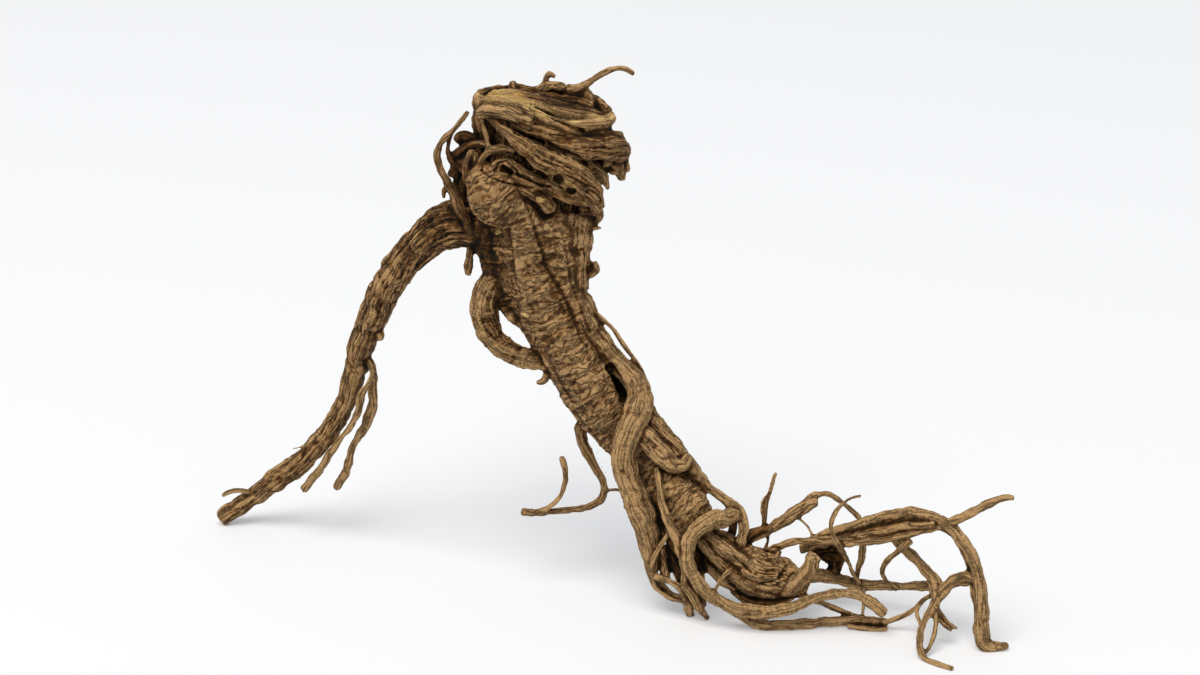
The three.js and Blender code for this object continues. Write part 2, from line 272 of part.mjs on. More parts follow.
    "hangingLeft": [[106.6, -85, -34, 1.2], [107.3, -89, -37, 1.05], [107.2, -93, -39.6, 0.95],
      [106.2, -97, -42.4, 0.9], [104.6, -100, -44.8, 0.85], [103, -101.6, -47, 0.85]],
    "hangingRight": [[107, -86, -35, 1], [110, -89.8, -36, 0.9], [112.4, -91.8, -36.6, 0.85],
      [114.3, -93.2, -37, 0.8]],
    "reachLeft": [[107, -82, -30, 1.1], [103.6, -83.8, -29.4, 0.95], [101, -86.5, -29, 0.9],
      [97.5, -88.8, -28, 0.9], [92.6, -90.8, -26.6, 0.9], [90, -91.3, -25.4, 1]],
    "floorSplit": [[79, -92.4, -26.4, 1], [86, -93.2, -27.6, 1.05], [92.2, -93.3, -27.7, 1]],
    "slopingRootlet": [[60, -80, -19.5, 1.6], [66.5, -83.4, -21.5, 1.15], [72, -85.4, -22, 1.05],
      [77, -87.4, -22.4, 1.05], [82, -89.3, -23, 1.05], [86, -90.8, -24.2, 1.05]],
    "darkUnderside": [[42, -81, -18, 1.4], [47.4, -84.4, -21, 1.3], [53.4, -85.4, -22.6, 1.3],
      [59.6, -84, -22, 1.2], [64.6, -80.6, -20, 1.3]],
    "hiddenToeA": [[51, -72, -13, 2.6], [53.6, -70.6, -5, 2], [55.6, -72.4, 3, 1.7], [57, -75.2, 8, 1.5],
      [58, -77, 11, 1.4]],
    "hiddenToeB": [[30, -61, -6, 2.8], [31.4, -69, -3, 2.1], [32, -75.4, 2, 1.6], [32.6, -79.2, 5.4, 1.4]],
  },
  "twigs": {
    "backLink": [[0.6, -50, 10.4, 0.85], [3.6, -48.8, 9.6, 0.75], [8, -49.3, 7, 0.75], [13, -50.4, 2.6, 0.8],
      [18.6, -50.6, -2, 0.8]],
    "twigLoop": [[52.4, -58.6, -8.4, 0.5], [51.6, -54.6, -8.6, 0.45], [52.2, -51.7, -8.6, 0.45],
      [54, -49.8, -8.2, 0.5]],
    "thinBrace": [[62.4, -57, -3.8, 0.6], [65.8, -59.8, -6, 0.55], [67.3, -62, -9.6, 0.55],
      [68.4, -65, -14.6, 0.6]],
    "shortStrut": [[84.4, -79.6, -13.4, 0.7], [84.3, -84, -18, 0.6], [84.1, -90, -23.6, 0.65]],
    "hangingFork": [[107.3, -89, -37, 0.75], [109.6, -91.8, -37.4, 0.7], [112.6, -93.8, -38, 0.65]],
    "backLace": [[103.8, -83.9, -29.4, 0.8], [101.5, -87, -31.6, 0.8], [102.2, -90.6, -36.6, 0.8],
      [103.4, -93, -41, 0.8]],
  },
};

// Small round hollows pressed into the crown: [across, up, back, radius].
const hollows = {
  "eye": [-13.4, 50.3, 1.4, 2],
  "socket": [-9.2, 47, 2, 1.8],
};

const wasm = await Module();
wasm.setup();

// The place in the frame of a point sighted on the card, and how much larger it is than it looks there.
function sighted([across, up, back]) {
  const sin = Math.sin(viewingTilt);
  const cos = Math.cos(viewingTilt);
  const nearer = (up * sin - (back - cardBack)) / (cos + (up * sin) / viewingDistance);
  const scale = (viewingDistance - nearer) / viewingDistance;
  const place = new THREE.Vector3(
    cardCentre.x + across * scale,
    cardCentre.y + back - cardBack,
    cardCentre.z + up * scale * cos + nearer * sin,
  );
  return { place, scale };
}

// The centre line of a root: points and radii along a smooth curve through the sighted points.
function centreLine(points, kind) {
  const seen = points.map(sighted);
  const places = seen.map((s) => s.place);
  const radii = points.map((p, i) => p[3] * seen[i].scale);
  const curve = new THREE.CatmullRomCurve3(places, false, "centripetal");
  const spans = places.length - 1;
  const line = [];
  for (let i = 0; i < spans; i++) {
    const gap = places[i].distanceTo(places[i + 1]);
    const steps = Math.max(1, Math.round(gap / kind.gap));
    for (let k = 0; k < steps; k++) {
      const part = k / steps;
      const radius = THREE.MathUtils.lerp(radii[i], radii[i + 1], part);
      line.push({ point: curve.getPoint((i + part) / spans), radius });
    }
  }
  line.push({ point: places[spans].clone(), radius: radii[spans] });
  return line;
}

// Long furrows that wind slowly round the root, as a share of its depth of relief.
function furrows(angle, along, turn) {
  return (
    0.5 * Math.sin(3 * angle + turn + along * 0.035) +
    0.35 * Math.sin(5 * angle + 2.3 * turn - along * 0.05 + Math.sin(along * 0.11)) +
    0.25 * Math.sin(8 * angle + 3.7 * turn + along * 0.07 + Math.sin(along * 0.17 + turn))
  );
}

// Rings across the root, which wander a little as they go round it.
function rings(angle, along, turn) {
  const wide = Math.sin(along * 0.9 + 1.2 * Math.sin(angle + turn));
  return wide + 0.7 * Math.sin(along * 1.7 + Math.sin(2 * angle + turn));
}

// One root as a closed mesh: rings of points round its centre line, with a low dome at both ends.
function sweep(points, kind, turn) {
  const line = centreLine(points, kind);
  const last = line.length - 1;
  const meanRadius = line.reduce((sum, { radius }) => sum + radius, 0) / line.length;
  const sides = Math.max(kind.leastSides, Math.round((2 * Math.PI * meanRadius) / kind.facet));
  const positions = [];
  const faces = [];
  const side = new THREE.Vector3(1, 0, 0);
  const tangent = new THREE.Vector3();
  let along = 0;
  line.forEach(({ point, radius }, i) => {
    tangent.subVectors(line[Math.min(i + 1, last)].point, line[Math.max(i - 1, 0)].point).normalize();
    if (i > 0) along += point.distanceTo(line[i - 1].point);
    if (kind.flat !== 1 && kind !== kinds.crown) {
      const out = new THREE.Vector3(point.x - crownAxis.x, point.y - crownAxis.y, 0);
      side.crossVectors(out, tangent);
    }
    side.addScaledVector(tangent, -side.dot(tangent)).normalize();
    const depth = new THREE.Vector3().crossVectors(tangent, side);
    for (let k = 0; k < sides; k++) {
      const angle = (k / sides) * 2 * Math.PI;
      const swell = 1 + kind.furrow * furrows(angle, along, turn) + kind.ring * rings(angle, along, turn);
      const at = point
        .clone()
        .addScaledVector(side, Math.cos(angle) * radius * swell)
        .addScaledVector(depth, Math.sin(angle) * radius * swell * kind.flat);
      positions.push(at.x, at.y, at.z);
    }
  });
  const ringStart = (i) => i * sides;
  for (let i = 0; i < last; i++) {
    for (let k = 0; k < sides; k++) {
      const next = (k + 1) % sides;
      const [a, b] = [ringStart(i) + k, ringStart(i) + next];
      const [c, d] = [ringStart(i + 1) + k, ringStart(i + 1) + next];
      faces.push(a, b, d, a, d, c);
    }
  }
  [0, last].forEach((i) => {
    const { point, radius } = line[i];
    const inner = line[i === 0 ? 1 : last - 1].point;
    const dome = point.clone().addScaledVector(point.clone().sub(inner).normalize(), radius * kind.dome);
    const centre = positions.length / 3;
    positions.push(dome.x, dome.y, dome.z);
    for (let k = 0; k < sides; k++) {
      const [a, b] = [ringStart(i) + k, ringStart(i) + ((k + 1) % sides)];
      if (i === 0) faces.push(centre, b, a);
      else faces.push(centre, a, b);
    }
  });
  const geometry = new THREE.BufferGeometry();
  geometry.setAttribute("position", new THREE.Float32BufferAttribute(positions, 3));
  geometry.setIndex(faces);
  return geometry;
}

function solidOf(geometry) {
  const bare = geometry.clone();
  bare.deleteAttribute("normal");
  bare.deleteAttribute("uv");
  const merged = mergeVertices(bare);
  return new wasm.Manifold(
    new wasm.Mesh({
      numProp: 3,
      vertProperties: merged.attributes.position.array,
      triVerts: new Uint32Array(merged.index.array),
    }),
  );
}

function geometryOf(solid) {
  const mesh = solid.getMesh();
  const geometry = new THREE.BufferGeometry();
  geometry.setAttribute("position", new THREE.BufferAttribute(mesh.vertProperties, 3));
  geometry.setIndex(new THREE.BufferAttribute(mesh.triVerts, 1));
  geometry.computeVertexNormals();
  return geometry;
}

// All the roots, joined as they grew.
function joinedRoots() {
  let whole = null;
  let turn = 0;
  for (const [kindName, group] of Object.entries(lines)) {
    for (const points of Object.values(group)) {
      turn += turnBetweenRoots;
      const root = solidOf(sweep(points, kinds[kindName], turn));
      whole = whole ? whole.add(root) : root;
    }
  }
  return whole;
}

function pressedHollows(whole) {
  return Object.values(hollows).reduce((solid, hollow) => {
    const { place, scale } = sighted(hollow);
    const ball = new THREE.SphereGeometry(hollow[3] * scale, hollowFacets.round, hollowFacets.down);
    ball.translate(place.x, place.y, place.z);
    return solid.subtract(solidOf(ball));
  }, whole);
}

// The lowest tips are flattened where the root stands on them.
function standing(whole) {
  const slab = new THREE.BoxGeometry(floorSlab.size, floorSlab.size, floorSlab.thickness);
  slab.translate(0, 0, -floorSlab.thickness / 2);
  return whole.subtract(solidOf(slab));
}

// Hollows that joining has sealed are filled, and loose scraps are dropped: the largest shell is the root.
function onePiece(whole) {
  return whole.decompose().reduce((most, shell) => (shell.volume() > most.volume() ? shell : most));
}

// Facets too flat or too small to show are merged into their neighbours.
async function lightened(solid) {
  const geometry = geometryOf(solid);
  geometry.deleteAttribute("normal");
  const spare = geometry.attributes.position.count - facetsKept / 2;
  return onePiece(solidOf(await new SimplifyModifier().modify(geometry, spare)));
}

// Where two folds touch at a single corner, each keeps its own corner, drawn back a little into its fold.
function drawnApart(geometry, distance) {
  const { position, normal } = geometry.attributes;
  const corners = new Map();
  for (let i = 0; i < position.count; i++) {
    const spot = [position.getX(i), position.getY(i), position.getZ(i)].map((x) => x.toFixed(2)).join();
    corners.set(spot, [...(corners.get(spot) ?? []), i]);
  }
  for (const shared of corners.values()) {
    if (shared.length === 1) continue;
    for (const i of shared) {
      position.setXYZ(
        i,
        position.getX(i) - normal.getX(i) * distance,
        position.getY(i) - normal.getY(i) * distance,
        position.getZ(i) - normal.getZ(i) * distance,
      );
    }
  }
  return geometry;
}

const driedRoot = new THREE.MeshStandardMaterial({ color: 0x8a6a45, roughness: 0.9, metalness: 0 });
const grown = await lightened(onePiece(standing(pressedHollows(joinedRoots()))));
const root = new THREE.Mesh(drawnApart(geometryOf(grown), cornerGap), driedRoot);
root.name = "ginseng_root";

const ginseng = new THREE.Group();
ginseng.add(root);

export default ginseng;
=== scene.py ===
# A dried ginseng root that stands on its side roots: a knotted crown, a leaning wrinkled taproot with one
# long leg root, and a heel wrapped in rootlets. Its lines are in millimetres, sighted from the front, and
# they are swept, fused, wrinkled and coloured here.
import itertools
import math

import bpy
import numpy as np
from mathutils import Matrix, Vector, kdtree


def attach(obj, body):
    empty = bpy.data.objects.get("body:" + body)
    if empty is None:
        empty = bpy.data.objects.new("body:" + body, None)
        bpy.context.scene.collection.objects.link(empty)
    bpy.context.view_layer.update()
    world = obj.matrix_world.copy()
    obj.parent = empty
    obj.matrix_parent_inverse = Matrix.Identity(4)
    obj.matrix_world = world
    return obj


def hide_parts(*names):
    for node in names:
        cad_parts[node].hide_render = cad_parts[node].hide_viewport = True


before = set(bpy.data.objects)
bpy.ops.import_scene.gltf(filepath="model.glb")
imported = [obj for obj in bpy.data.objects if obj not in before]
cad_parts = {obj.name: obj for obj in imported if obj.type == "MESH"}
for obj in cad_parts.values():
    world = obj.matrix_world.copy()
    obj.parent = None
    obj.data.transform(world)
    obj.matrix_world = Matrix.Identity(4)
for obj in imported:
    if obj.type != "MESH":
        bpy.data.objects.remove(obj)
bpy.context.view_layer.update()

millimetre = 0.001  # in Blender's metres

# A point of a root is [across, up, back, radius]. Across and up are read on an upright card, square to
# the line of sight and one viewing distance from the eye. Back is a true distance along +Y, on a scale
# where the card's centre is at cardBack. The radius is read on the card too.
sighting = {
    "distance": 900.0,
    "tilt": math.radians(20),
    "cardCentre": np.array([2.1, 31.9, 74.4]),
    "cardBack": 33.0,
    "crownAxis": np.array([-15.0, 21.0]),  # mm across and back in the frame
}

lines = {
    "crown": {
        "crownCore": [[-20.5, 27, 18, 13], [-20.5, 33, 19, 15], [-20.5, 40, 20, 16.5],
            [-20, 47, 21, 17], [-18.5, 54, 22.5, 17.5], [-17, 60, 23, 17.5], [-16.6, 66, 23, 17.5],
            [-16.4, 70.6, 23, 18.6], [-15.5, 74.7, 23.2, 20.8]],
        "crownLeft": [[-31, 58, 26, 6], [-31.4, 64, 26.5, 9], [-31.2, 70, 26.5, 10],
            [-30.4, 76, 25.5, 10.8]],
        "slabFront": [[-36, 75.2, 17, 2.6], [-30, 75.4, 14.5, 3.4], [-24, 74.2, 13.5, 3.6],
            [-18, 72.4, 13, 3.4], [-12, 70.8, 13, 3.2], [-6, 70, 13.5, 3.2], [-1, 69.8, 15, 3]],
        "slabMiddle": [[-36, 76, 24, 3], [-30, 75.5, 21, 4], [-24, 74.8, 20, 4], [-18, 73.4, 20, 4],
            [-12, 72.2, 20, 4], [-6, 71.6, 20.5, 3.8], [-1, 71.2, 21, 3.2]],
        "slabRear": [[-33, 76.8, 29, 3.4], [-27, 76.6, 29, 4], [-20, 75.6, 29.5, 4],
            [-13, 74.8, 29.5, 4], [-7, 74, 29, 3.6], [-2, 73, 27, 3]],
    },
    "trunk": {
        "taproot": [[-21, 38, 20, 14.5], [-20.5, 30, 19, 14], [-19.5, 21, 18, 12.8],
            [-17, 12, 16.5, 11.8], [-13.8, 4, 14.8, 10.8], [-10.4, -3.5, 13, 9.6],
            [-7.4, -10.5, 11.6, 8.6], [-4, -17.5, 10, 8], [0.8, -24.5, 8, 7.6], [6.6, -31.5, 5.8, 7],
            [12.6, -38, 3.4, 6.3], [18, -43.5, -0.5, 6.6], [22.5, -49, -4.5, 7.8], [27, -54, -7, 8],
            [31, -58.5, -9, 6.8], [34, -62.5, -10, 5]],
        "middleColumn": [[-25.5, 39, 11, 3.6], [-24.8, 34.5, 9.5, 6], [-23.6, 28, 10, 6.8],
            [-22.2, 21, 10.2, 7], [-19.8, 14, 10, 7.1], [-16.4, 7, 9, 7.1], [-12, 0, 7.2, 7],
            [-7.8, -7, 5.8, 7], [-3.6, -14, 4.8, 7], [0.4, -20.6, 4, 6.4], [3.2, -25.6, 3.6, 5.5],
            [6.2, -30.2, 3.8, 4.4], [9.4, -34.8, 5, 3]],
        "leftLobe": [[-36.5, 38, 19, 4], [-35.4, 32, 19, 4.8], [-34, 26, 19, 4.8],
            [-32, 19.5, 19, 4.4], [-29, 12, 18, 3.8], [-25, 5, 16.5, 3.2]],
        "rightFlank": [[-15, 41, 14, 4], [-14.6, 34, 13.4, 6], [-14.2, 26, 13, 6.6],
            [-13, 18, 12.6, 6.4], [-10.6, 10, 11.6, 6], [-7.4, 3, 10.4, 5.4], [-4, -3, 9.4, 4.6],
            [-1.4, -7.4, 8.8, 3.6]],
        "rightColumn": [[-9, 40, 18, 7.6], [-9.8, 32, 16.5, 7.4], [-10.2, 24, 15.5, 6.6],
            [-10, 16, 14.5, 6.2], [-7.8, 8.5, 13, 6.1], [-5, 2.6, 11.8, 5.8], [-1.2, -2.4, 10.6, 5.1],
            [2.8, -6.2, 9.4, 4.1], [6.4, -9.4, 8, 3.4], [9.9, -12.6, 6, 3.4], [12.4, -16.4, 3.2, 3.9],
            [12.7, -20.6, 0, 4.4], [11.2, -25.6, -3.6, 4.5], [9, -30.6, -6.2, 4.2],
            [7.4, -36, -8, 4.1], [7.7, -42, -9, 4.1], [9.6, -48, -10, 4.2], [12, -54, -11.5, 4.3],
            [14.1, -60, -12.5, 4], [15.5, -66, -13.5, 3.4], [16.3, -71, -14.5, 2.7],
            [16.5, -76, -15, 1.9]],
        "slotBack": [[-2, -3, 15.5, 3.4], [3, -8.4, 15, 3.8], [8, -15, 13, 4.2], [13, -23, 8.5, 4]],
        "shoulder": [[-39, 54, 13.5, 4.4], [-37, 50, 11, 7], [-34, 46.4, 9.6, 8.4], [-31, 43, 9.6, 8],
            [-28, 40.4, 11, 6]],
        "shoulderJoin": [[-35, 47, 9.5, 4.5], [-30.5, 43.5, 9, 6], [-26, 39.5, 9.6, 6.6],
            [-24, 34, 10, 6.4]],
        "shoulderFold": [[-40.4, 45.6, 14, 2.8], [-38.2, 41.4, 11, 3.6], [-34.6, 39.2, 8.8, 4],
            [-30.4, 39.4, 8, 3.8], [-27, 41.4, 8.4, 3], [-25.2, 44.6, 8.8, 2]],
        "leg": [[-37, 36, 22, 7.4], [-43.5, 36.6, 23, 7.9], [-50, 35.4, 25, 7.4],
            [-56.3, 30.6, 27.5, 6.3], [-62.1, 24.6, 30, 5.6], [-67.1, 17.8, 33, 5.2],
            [-70.6, 11, 35.5, 5.1], [-73.6, 4, 38, 4.5], [-76, -2, 40, 4.2], [-77.6, -8, 42, 4],
            [-79, -14, 43.5, 3.7], [-81.3, -20.5, 45, 3.5], [-84.6, -26.5, 46.5, 3.5],
            [-88.2, -32, 48, 3.5], [-92.8, -37, 49.5, 3.4], [-98, -41.5, 51, 3.6],
            [-103.5, -45, 52.5, 3.8], [-108.8, -49.2, 53.8, 3.1], [-114.2, -53.2, 54.5, 3],
            [-118.6, -56.2, 54.6, 3], [-121.4, -57.8, 54.6, 2.8]],
        "heel": [[35.5, -64, -10, 4.2], [41, -69, -13, 6], [47, -73.6, -16, 7.4],
            [52.8, -76, -18, 7.9], [58.2, -77.2, -19, 7], [62.6, -78.2, -19.5, 5], [66, -79, -19, 3]],
    },
    "limbs": {
        "loopRoot": [[-29, 19.5, 19, 4.2], [-34.6, 17.6, 18, 4.5], [-37.1, 11.4, 17, 4.3],
            [-36.7, 4.4, 16, 4.3], [-33.6, -1.2, 15, 4], [-28.7, -4.7, 14, 3.6],
            [-23.6, -6.6, 13, 3.3], [-18.5, -8, 12, 2.8], [-13.5, -8.6, 11, 2.2]],
        "foldOuter": [[12.5, -21.5, 3, 3.6], [16.6, -27, 1, 3.5], [21, -32, -1, 3.4],
            [25.6, -37, -3, 3.1], [29.6, -42, -4.5, 2.5], [33.2, -46.2, -5.5, 1.9],
            [37.4, -49.8, -7, 1.7], [41.6, -53, -8.5, 1.8], [45, -56.6, -10.5, 1.9],
            [46.3, -60.4, -12.5, 2], [45.6, -64.2, -14, 1.9], [44.4, -68.5, -16, 1.8]],
        "foldInner": [[10.5, -26.5, -2, 3], [14.2, -31.6, -5, 3.4], [18.4, -36.4, -7, 3.5],
            [22.2, -40.2, -8.5, 3.1], [25.8, -40.8, -7.5, 2.5], [28, -38.6, -5, 2]],
        "frontStrap": [[43.5, -56.5, -11, 2.2], [40, -57.8, -14.5, 2.9], [35.8, -58.6, -17, 3],
            [32, -60.7, -18.8, 2.7], [29.2, -64.4, -20, 2.4], [28.3, -69.2, -21, 2.2],
            [29.5, -74.8, -22, 2.2], [33, -80, -23.5, 2.3], [38.5, -84.4, -25.5, 2.4],
            [45, -87.3, -27.5, 2.4], [52, -88.1, -28.7, 2.3], [59, -87, -29, 2], [65, -84.8, -29, 1.8],
            [71, -82.6, -29, 1.7], [76.5, -81.8, -29, 1.8], [81.5, -82, -29.5, 1.8],
            [85.5, -84.2, -30, 1.9], [88.8, -86.6, -30.5, 2.1], [91.2, -88.2, -31, 1.8]],
        "finger": [[56.5, -82, -20, 2.2], [61, -80.2, -24, 2.7], [64.7, -76.9, -25.8, 2.9],
            [67.2, -73.2, -26.2, 2.9], [68.4, -69.8, -26.2, 2.5]],
        "topRope": [[66, -66, -11, 1.4], [70.5, -63.6, -13, 1.7], [76.5, -61.7, -15, 1.9],
            [83, -60.2, -17.5, 2.3], [90, -58.1, -20, 2.4], [96, -56.6, -22, 2.5],
            [101.5, -56.4, -24.5, 2.4], [107.5, -57.8, -27.5, 1.9], [112.3, -60.7, -30, 2],
            [116.5, -65.2, -33, 2], [119.5, -71, -35.5, 2], [121.3, -78, -37.5, 2.2],
            [122, -85, -39.5, 2.4], [122.3, -91, -40.2, 2.6], [122.2, -95.4, -40.6, 2.8],
            [123.8, -98.4, -40.8, 2.8], [127, -98.8, -40.8, 2], [130.6, -98.4, -40.8, 1]],
        "middleRope": [[64, -67.5, -10, 1.8], [70, -65.6, -11, 2], [77, -63.8, -13.5, 2.3],
            [84.5, -62.4, -16.5, 2.5], [92, -61.2, -19.5, 2.5], [100, -60, -23, 2.1],
            [107.5, -59.9, -27, 1.7], [112.8, -62.6, -30, 1.6], [115.8, -67.5, -31.8, 1.5],
            [117.9, -73, -33.8, 1.4], [119.5, -79, -36, 1.5], [120.3, -85, -38.5, 1.3],
            [121, -91, -40.5, 1.2]],
        "darkLump": [[68, -67, -9, 2.2], [72, -67.6, -8, 3.6], [75.4, -70, -8, 3.9],
            [75.4, -73.6, -9, 2.6], [73, -76.2, -11, 2]],
        "heelRibA": [[33, -61.5, -13, 1.7], [37, -65.6, -16.4, 2.2], [41.5, -69.2, -19.4, 2.6],
            [46.5, -72.2, -20.6, 2.5], [51.4, -74.4, -21, 2.2], [55.6, -76, -20.4, 1.8]],
        "heelRibB": [[31.8, -64.6, -14, 1.7], [36, -69.3, -17, 2.1], [40.5, -73.4, -19.4, 2.4],
            [45, -77, -21, 2.6], [50, -79.9, -21.8, 2.6], [55, -81.6, -22, 2.2],
            [60, -81.8, -20.6, 1.7]],
        "heelRibC": [[31.5, -68.5, -12, 1.6], [35, -73.6, -14, 1.8], [39, -77.2, -16.5, 1.9],
            [44, -80.4, -18.5, 1.8]],
        "knob": [[13.5, -52.5, -8, 2.6], [10.2, -54.3, -7, 2.7], [8.9, -55.6, -7, 2]],
        "backBranch": [[-1, -20, 11, 3], [-5, -26, 12, 2.7], [-6, -31, 12, 2.3],
            [-4.4, -36.4, 12, 1.9], [-2, -41, 11.5, 1.6], [0.3, -45, 11, 1.4], [1.4, -48.5, 10.5, 1.3],
            [0.4, -51.6, 10, 1.4], [-3.4, -54, 10, 1.3], [-9.5, -55, 9.5, 1.15], [-16, -55.8, 9, 1.2],
            [-21.5, -56, 8.5, 1.35], [-25, -55.8, 8, 1.5]],
        "armlessRope": [[43, -69, -12, 2.2], [47.8, -64.4, -9.5, 2.1], [53, -61.8, -7.5, 1.9],
            [58, -59, -5, 2.1], [62.5, -56, -3.5, 2.3], [66.5, -53.6, -2.5, 2.3],
            [69.8, -52.4, -2, 2]],
        "farRootlet": [[64, -77.5, -15, 2.4], [70, -76.4, -13, 2.6], [77, -77.8, -12, 2.1],
            [84, -79.2, -13, 1.8], [91, -79.3, -15.5, 1.7], [98, -79.5, -18.5, 1.7],
            [105, -79.6, -21.5, 1.8], [110.5, -79.3, -25, 1.5], [115.5, -78.4, -29.5, 1.5],
            [119.6, -77.4, -35, 1.6]],
        "forkRootlet": [[93.5, -63.5, -21, 1.9], [97.3, -67.3, -20.5, 1.8], [101.2, -71.2, -22, 1.7],
            [104.8, -75, -25, 1.8], [107.1, -78.4, -28, 2.2], [107.7, -82, -31, 2.2],
            [106.5, -86, -35, 1.8], [104.2, -90, -39, 1.45], [102.7, -94.5, -42.5, 1.4],
            [102.5, -98.8, -45.2, 1.3], [103.8, -102.2, -47.6, 1.2], [108, -104.4, -51.2, 1.15],
            [112.8, -106, -54.7, 1.15]],
        "lightFork": [[107.2, -84, -31.5, 1.9], [110.2, -80.8, -32, 2.1], [113.3, -77.7, -33.5, 1.8],
            [116.6, -76.3, -35.2, 1.6], [120, -77.2, -37, 1.8]],
        "floorRope": [[41.5, -86, -25.5, 1.8], [47, -90, -25.5, 2], [53, -92.2, -26.4, 1.9],
            [60, -92, -26, 1.8], [67, -91.4, -24.9, 1.8], [74, -91, -24.2, 1.85],
            [81, -91, -24.2, 1.95], [87, -91.2, -24.6, 1.95], [92, -91.4, -24.9, 1.7]],
    },
    "bands": {
        "slabRimFront": [[-39.4, 77.2, 24, 1.9], [-38.4, 75.8, 16, 2.2], [-34.8, 75.6, 11.5, 2.1],
            [-29.4, 75.6, 9, 2], [-24.4, 74, 7.8, 1.8], [-19.8, 71.6, 7.2, 1.8], [-15, 69.4, 6.8, 1.9],
            [-10, 68.2, 7, 2], [-4, 68.2, 8.6, 2.2], [0.6, 68.6, 11.6, 2.4], [3.4, 69.6, 16.4, 2.4],
            [4, 71.4, 23, 2.2]],
        "slabRimBack": [[-38.9, 77.3, 25, 1.9], [-36.8, 78.5, 31, 1.9], [-32.6, 79.1, 34, 1.9],
            [-27.5, 79.8, 35.5, 2], [-22, 79.2, 36, 1.8], [-16, 79.1, 36, 1.9], [-10, 77.9, 35.5, 2.1],
            [-4.6, 76.7, 33.5, 2.4], [-0.4, 74.8, 30.5, 2.6], [2.6, 72, 26, 2.6]],
        "slabSwell": [[-36.4, 76.8, 19, 2], [-31, 78.2, 21, 3], [-25, 77.4, 23, 2.8],
            [-19, 76, 23, 2.2]],
        "slabRidge": [[-22, 73.6, 9.6, 1.2], [-17.4, 73.6, 14, 1.7], [-12.6, 72.6, 18, 1.6],
            [-7, 73.2, 21, 1.8], [-2.4, 72.2, 20, 1.4]],
        "slabKnob": [[-9, 77.4, 31, 2.4], [-5, 77.6, 30, 2.4], [-2, 75.8, 28, 1.8]],
        "layerTwo": [[-29, 71.4, 10.5, 2.4], [-25, 69, 8.2, 3], [-20, 66.6, 7, 2.9],
            [-14.5, 65, 6.8, 2.5], [-8.5, 64.4, 7.6, 2.2], [-1.5, 64.5, 10, 2.1], [4.4, 64.6, 15, 2],
            [7, 64.6, 21, 1.8]],
        "layerThree": [[-17.6, 63, 7.5, 1.7], [-13, 61.6, 6.4, 2.8], [-6.4, 60.7, 6.4, 3.6],
            [0.4, 60.4, 8.8, 3.9], [5.4, 60.2, 12.6, 3.9], [7.4, 59.8, 17.6, 3.7],
            [7.8, 59.6, 23, 3.2]],
        "diagonalStrap": [[-36.4, 70.9, 11.5, 1.2], [-33.6, 68.4, 9, 1.6], [-30, 65.5, 7.2, 2.1],
            [-26.4, 62.8, 6, 2.8], [-22, 59.6, 5, 3.4], [-17, 56.3, 4, 4], [-12, 53.4, 3.6, 4.6],
            [-7.4, 50.5, 4.2, 4.8], [-3.8, 47.4, 6, 4.5], [-1.4, 44.4, 9, 3.6], [-0.8, 41.4, 12, 2.8]],
        "chin": [[-17, 49.4, 7.5, 2.2], [-12.6, 46.9, 6.2, 3], [-8, 45.5, 6.2, 3], [-3, 44.8, 8, 2.8],
            [0.2, 45.2, 12, 2.5]],
        "jaw": [[-6, 41.4, 11.5, 2], [-2, 41, 12.5, 2.4], [-0.4, 38.6, 14.5, 2.4],
            [-2.4, 36.4, 16, 2.2]],
        "spindle": [[-30, 57.4, 10, 1.1], [-26, 54, 8.5, 1.7], [-21.6, 51, 7.5, 1.9],
            [-17.4, 49, 7.2, 1.4]],
        "earArc": [[-37.4, 51.6, 9.5, 1.5], [-38, 56, 10.5, 1.6], [-35.6, 59.6, 10.5, 1.7],
            [-31, 60.6, 10, 1.7], [-27, 59.6, 9.5, 1.2]],
        "earInner": [[-33.6, 51.4, 8.5, 1.3], [-33.8, 54.8, 9, 1.7], [-31, 56.6, 9, 1.7],
            [-28.2, 54.6, 8.5, 1.4]],
        "chest": [[-28.5, 51, 9, 2.4], [-23.4, 47.6, 7.2, 3.4], [-18.6, 44.4, 7, 3.3],
            [-15.4, 41, 9, 2.5]],
        "sideRidge": [[-38.4, 73.6, 18, 1.3], [-37.6, 69.4, 15, 1.4], [-36.4, 65, 13, 1.5],
            [-35.6, 60.6, 12, 1.4]],
        "leftEdge": [[-38.6, 73.6, 22, 2], [-38.8, 68.8, 22, 2], [-37.6, 64.6, 21.5, 1.8],
            [-36.4, 61, 20, 1.8]],
        "rearBandA": [[6, 58, 24, 3], [1, 58.6, 30, 3.2], [-8, 61, 34, 3.4], [-19, 63, 35.5, 3.4],
            [-30, 64, 34.5, 3], [-37, 63.6, 28, 2.6]],
        "rearBandB": [[2.4, 66, 27, 2.8], [-5, 69.4, 33, 3], [-16, 71.6, 36.5, 3],
            [-28, 72, 35.5, 2.8], [-36.4, 71, 29.5, 2.6]],
        "rearStrap": [[-37.6, 58, 25, 2.4], [-34, 53, 29.5, 3], [-26, 49, 32.5, 3.4],
            [-16, 45.4, 32.5, 3.6], [-7, 42, 29.5, 3.2], [-3.4, 39.6, 25, 2.6]],
        "rearFold": [[0, 50, 25, 2.8], [-5, 52, 30.5, 3.2], [-15, 54.4, 34.5, 3.4],
            [-27, 56.6, 34, 3.2], [-35, 56, 29.5, 2.8]],
    },
    "rootlets": {
        "outerLoop": [[-42.3, 72.4, 18, 0.8], [-44.4, 69.4, 17.5, 1], [-46.7, 66.5, 17, 1.05],
            [-49.6, 64, 16, 1.15], [-51.7, 61, 15.5, 1.25], [-52.2, 57.3, 15, 1.35],
            [-50.9, 53.3, 14.5, 1.45], [-48.6, 49.7, 14, 1.65], [-46.6, 45.8, 14, 1.8],
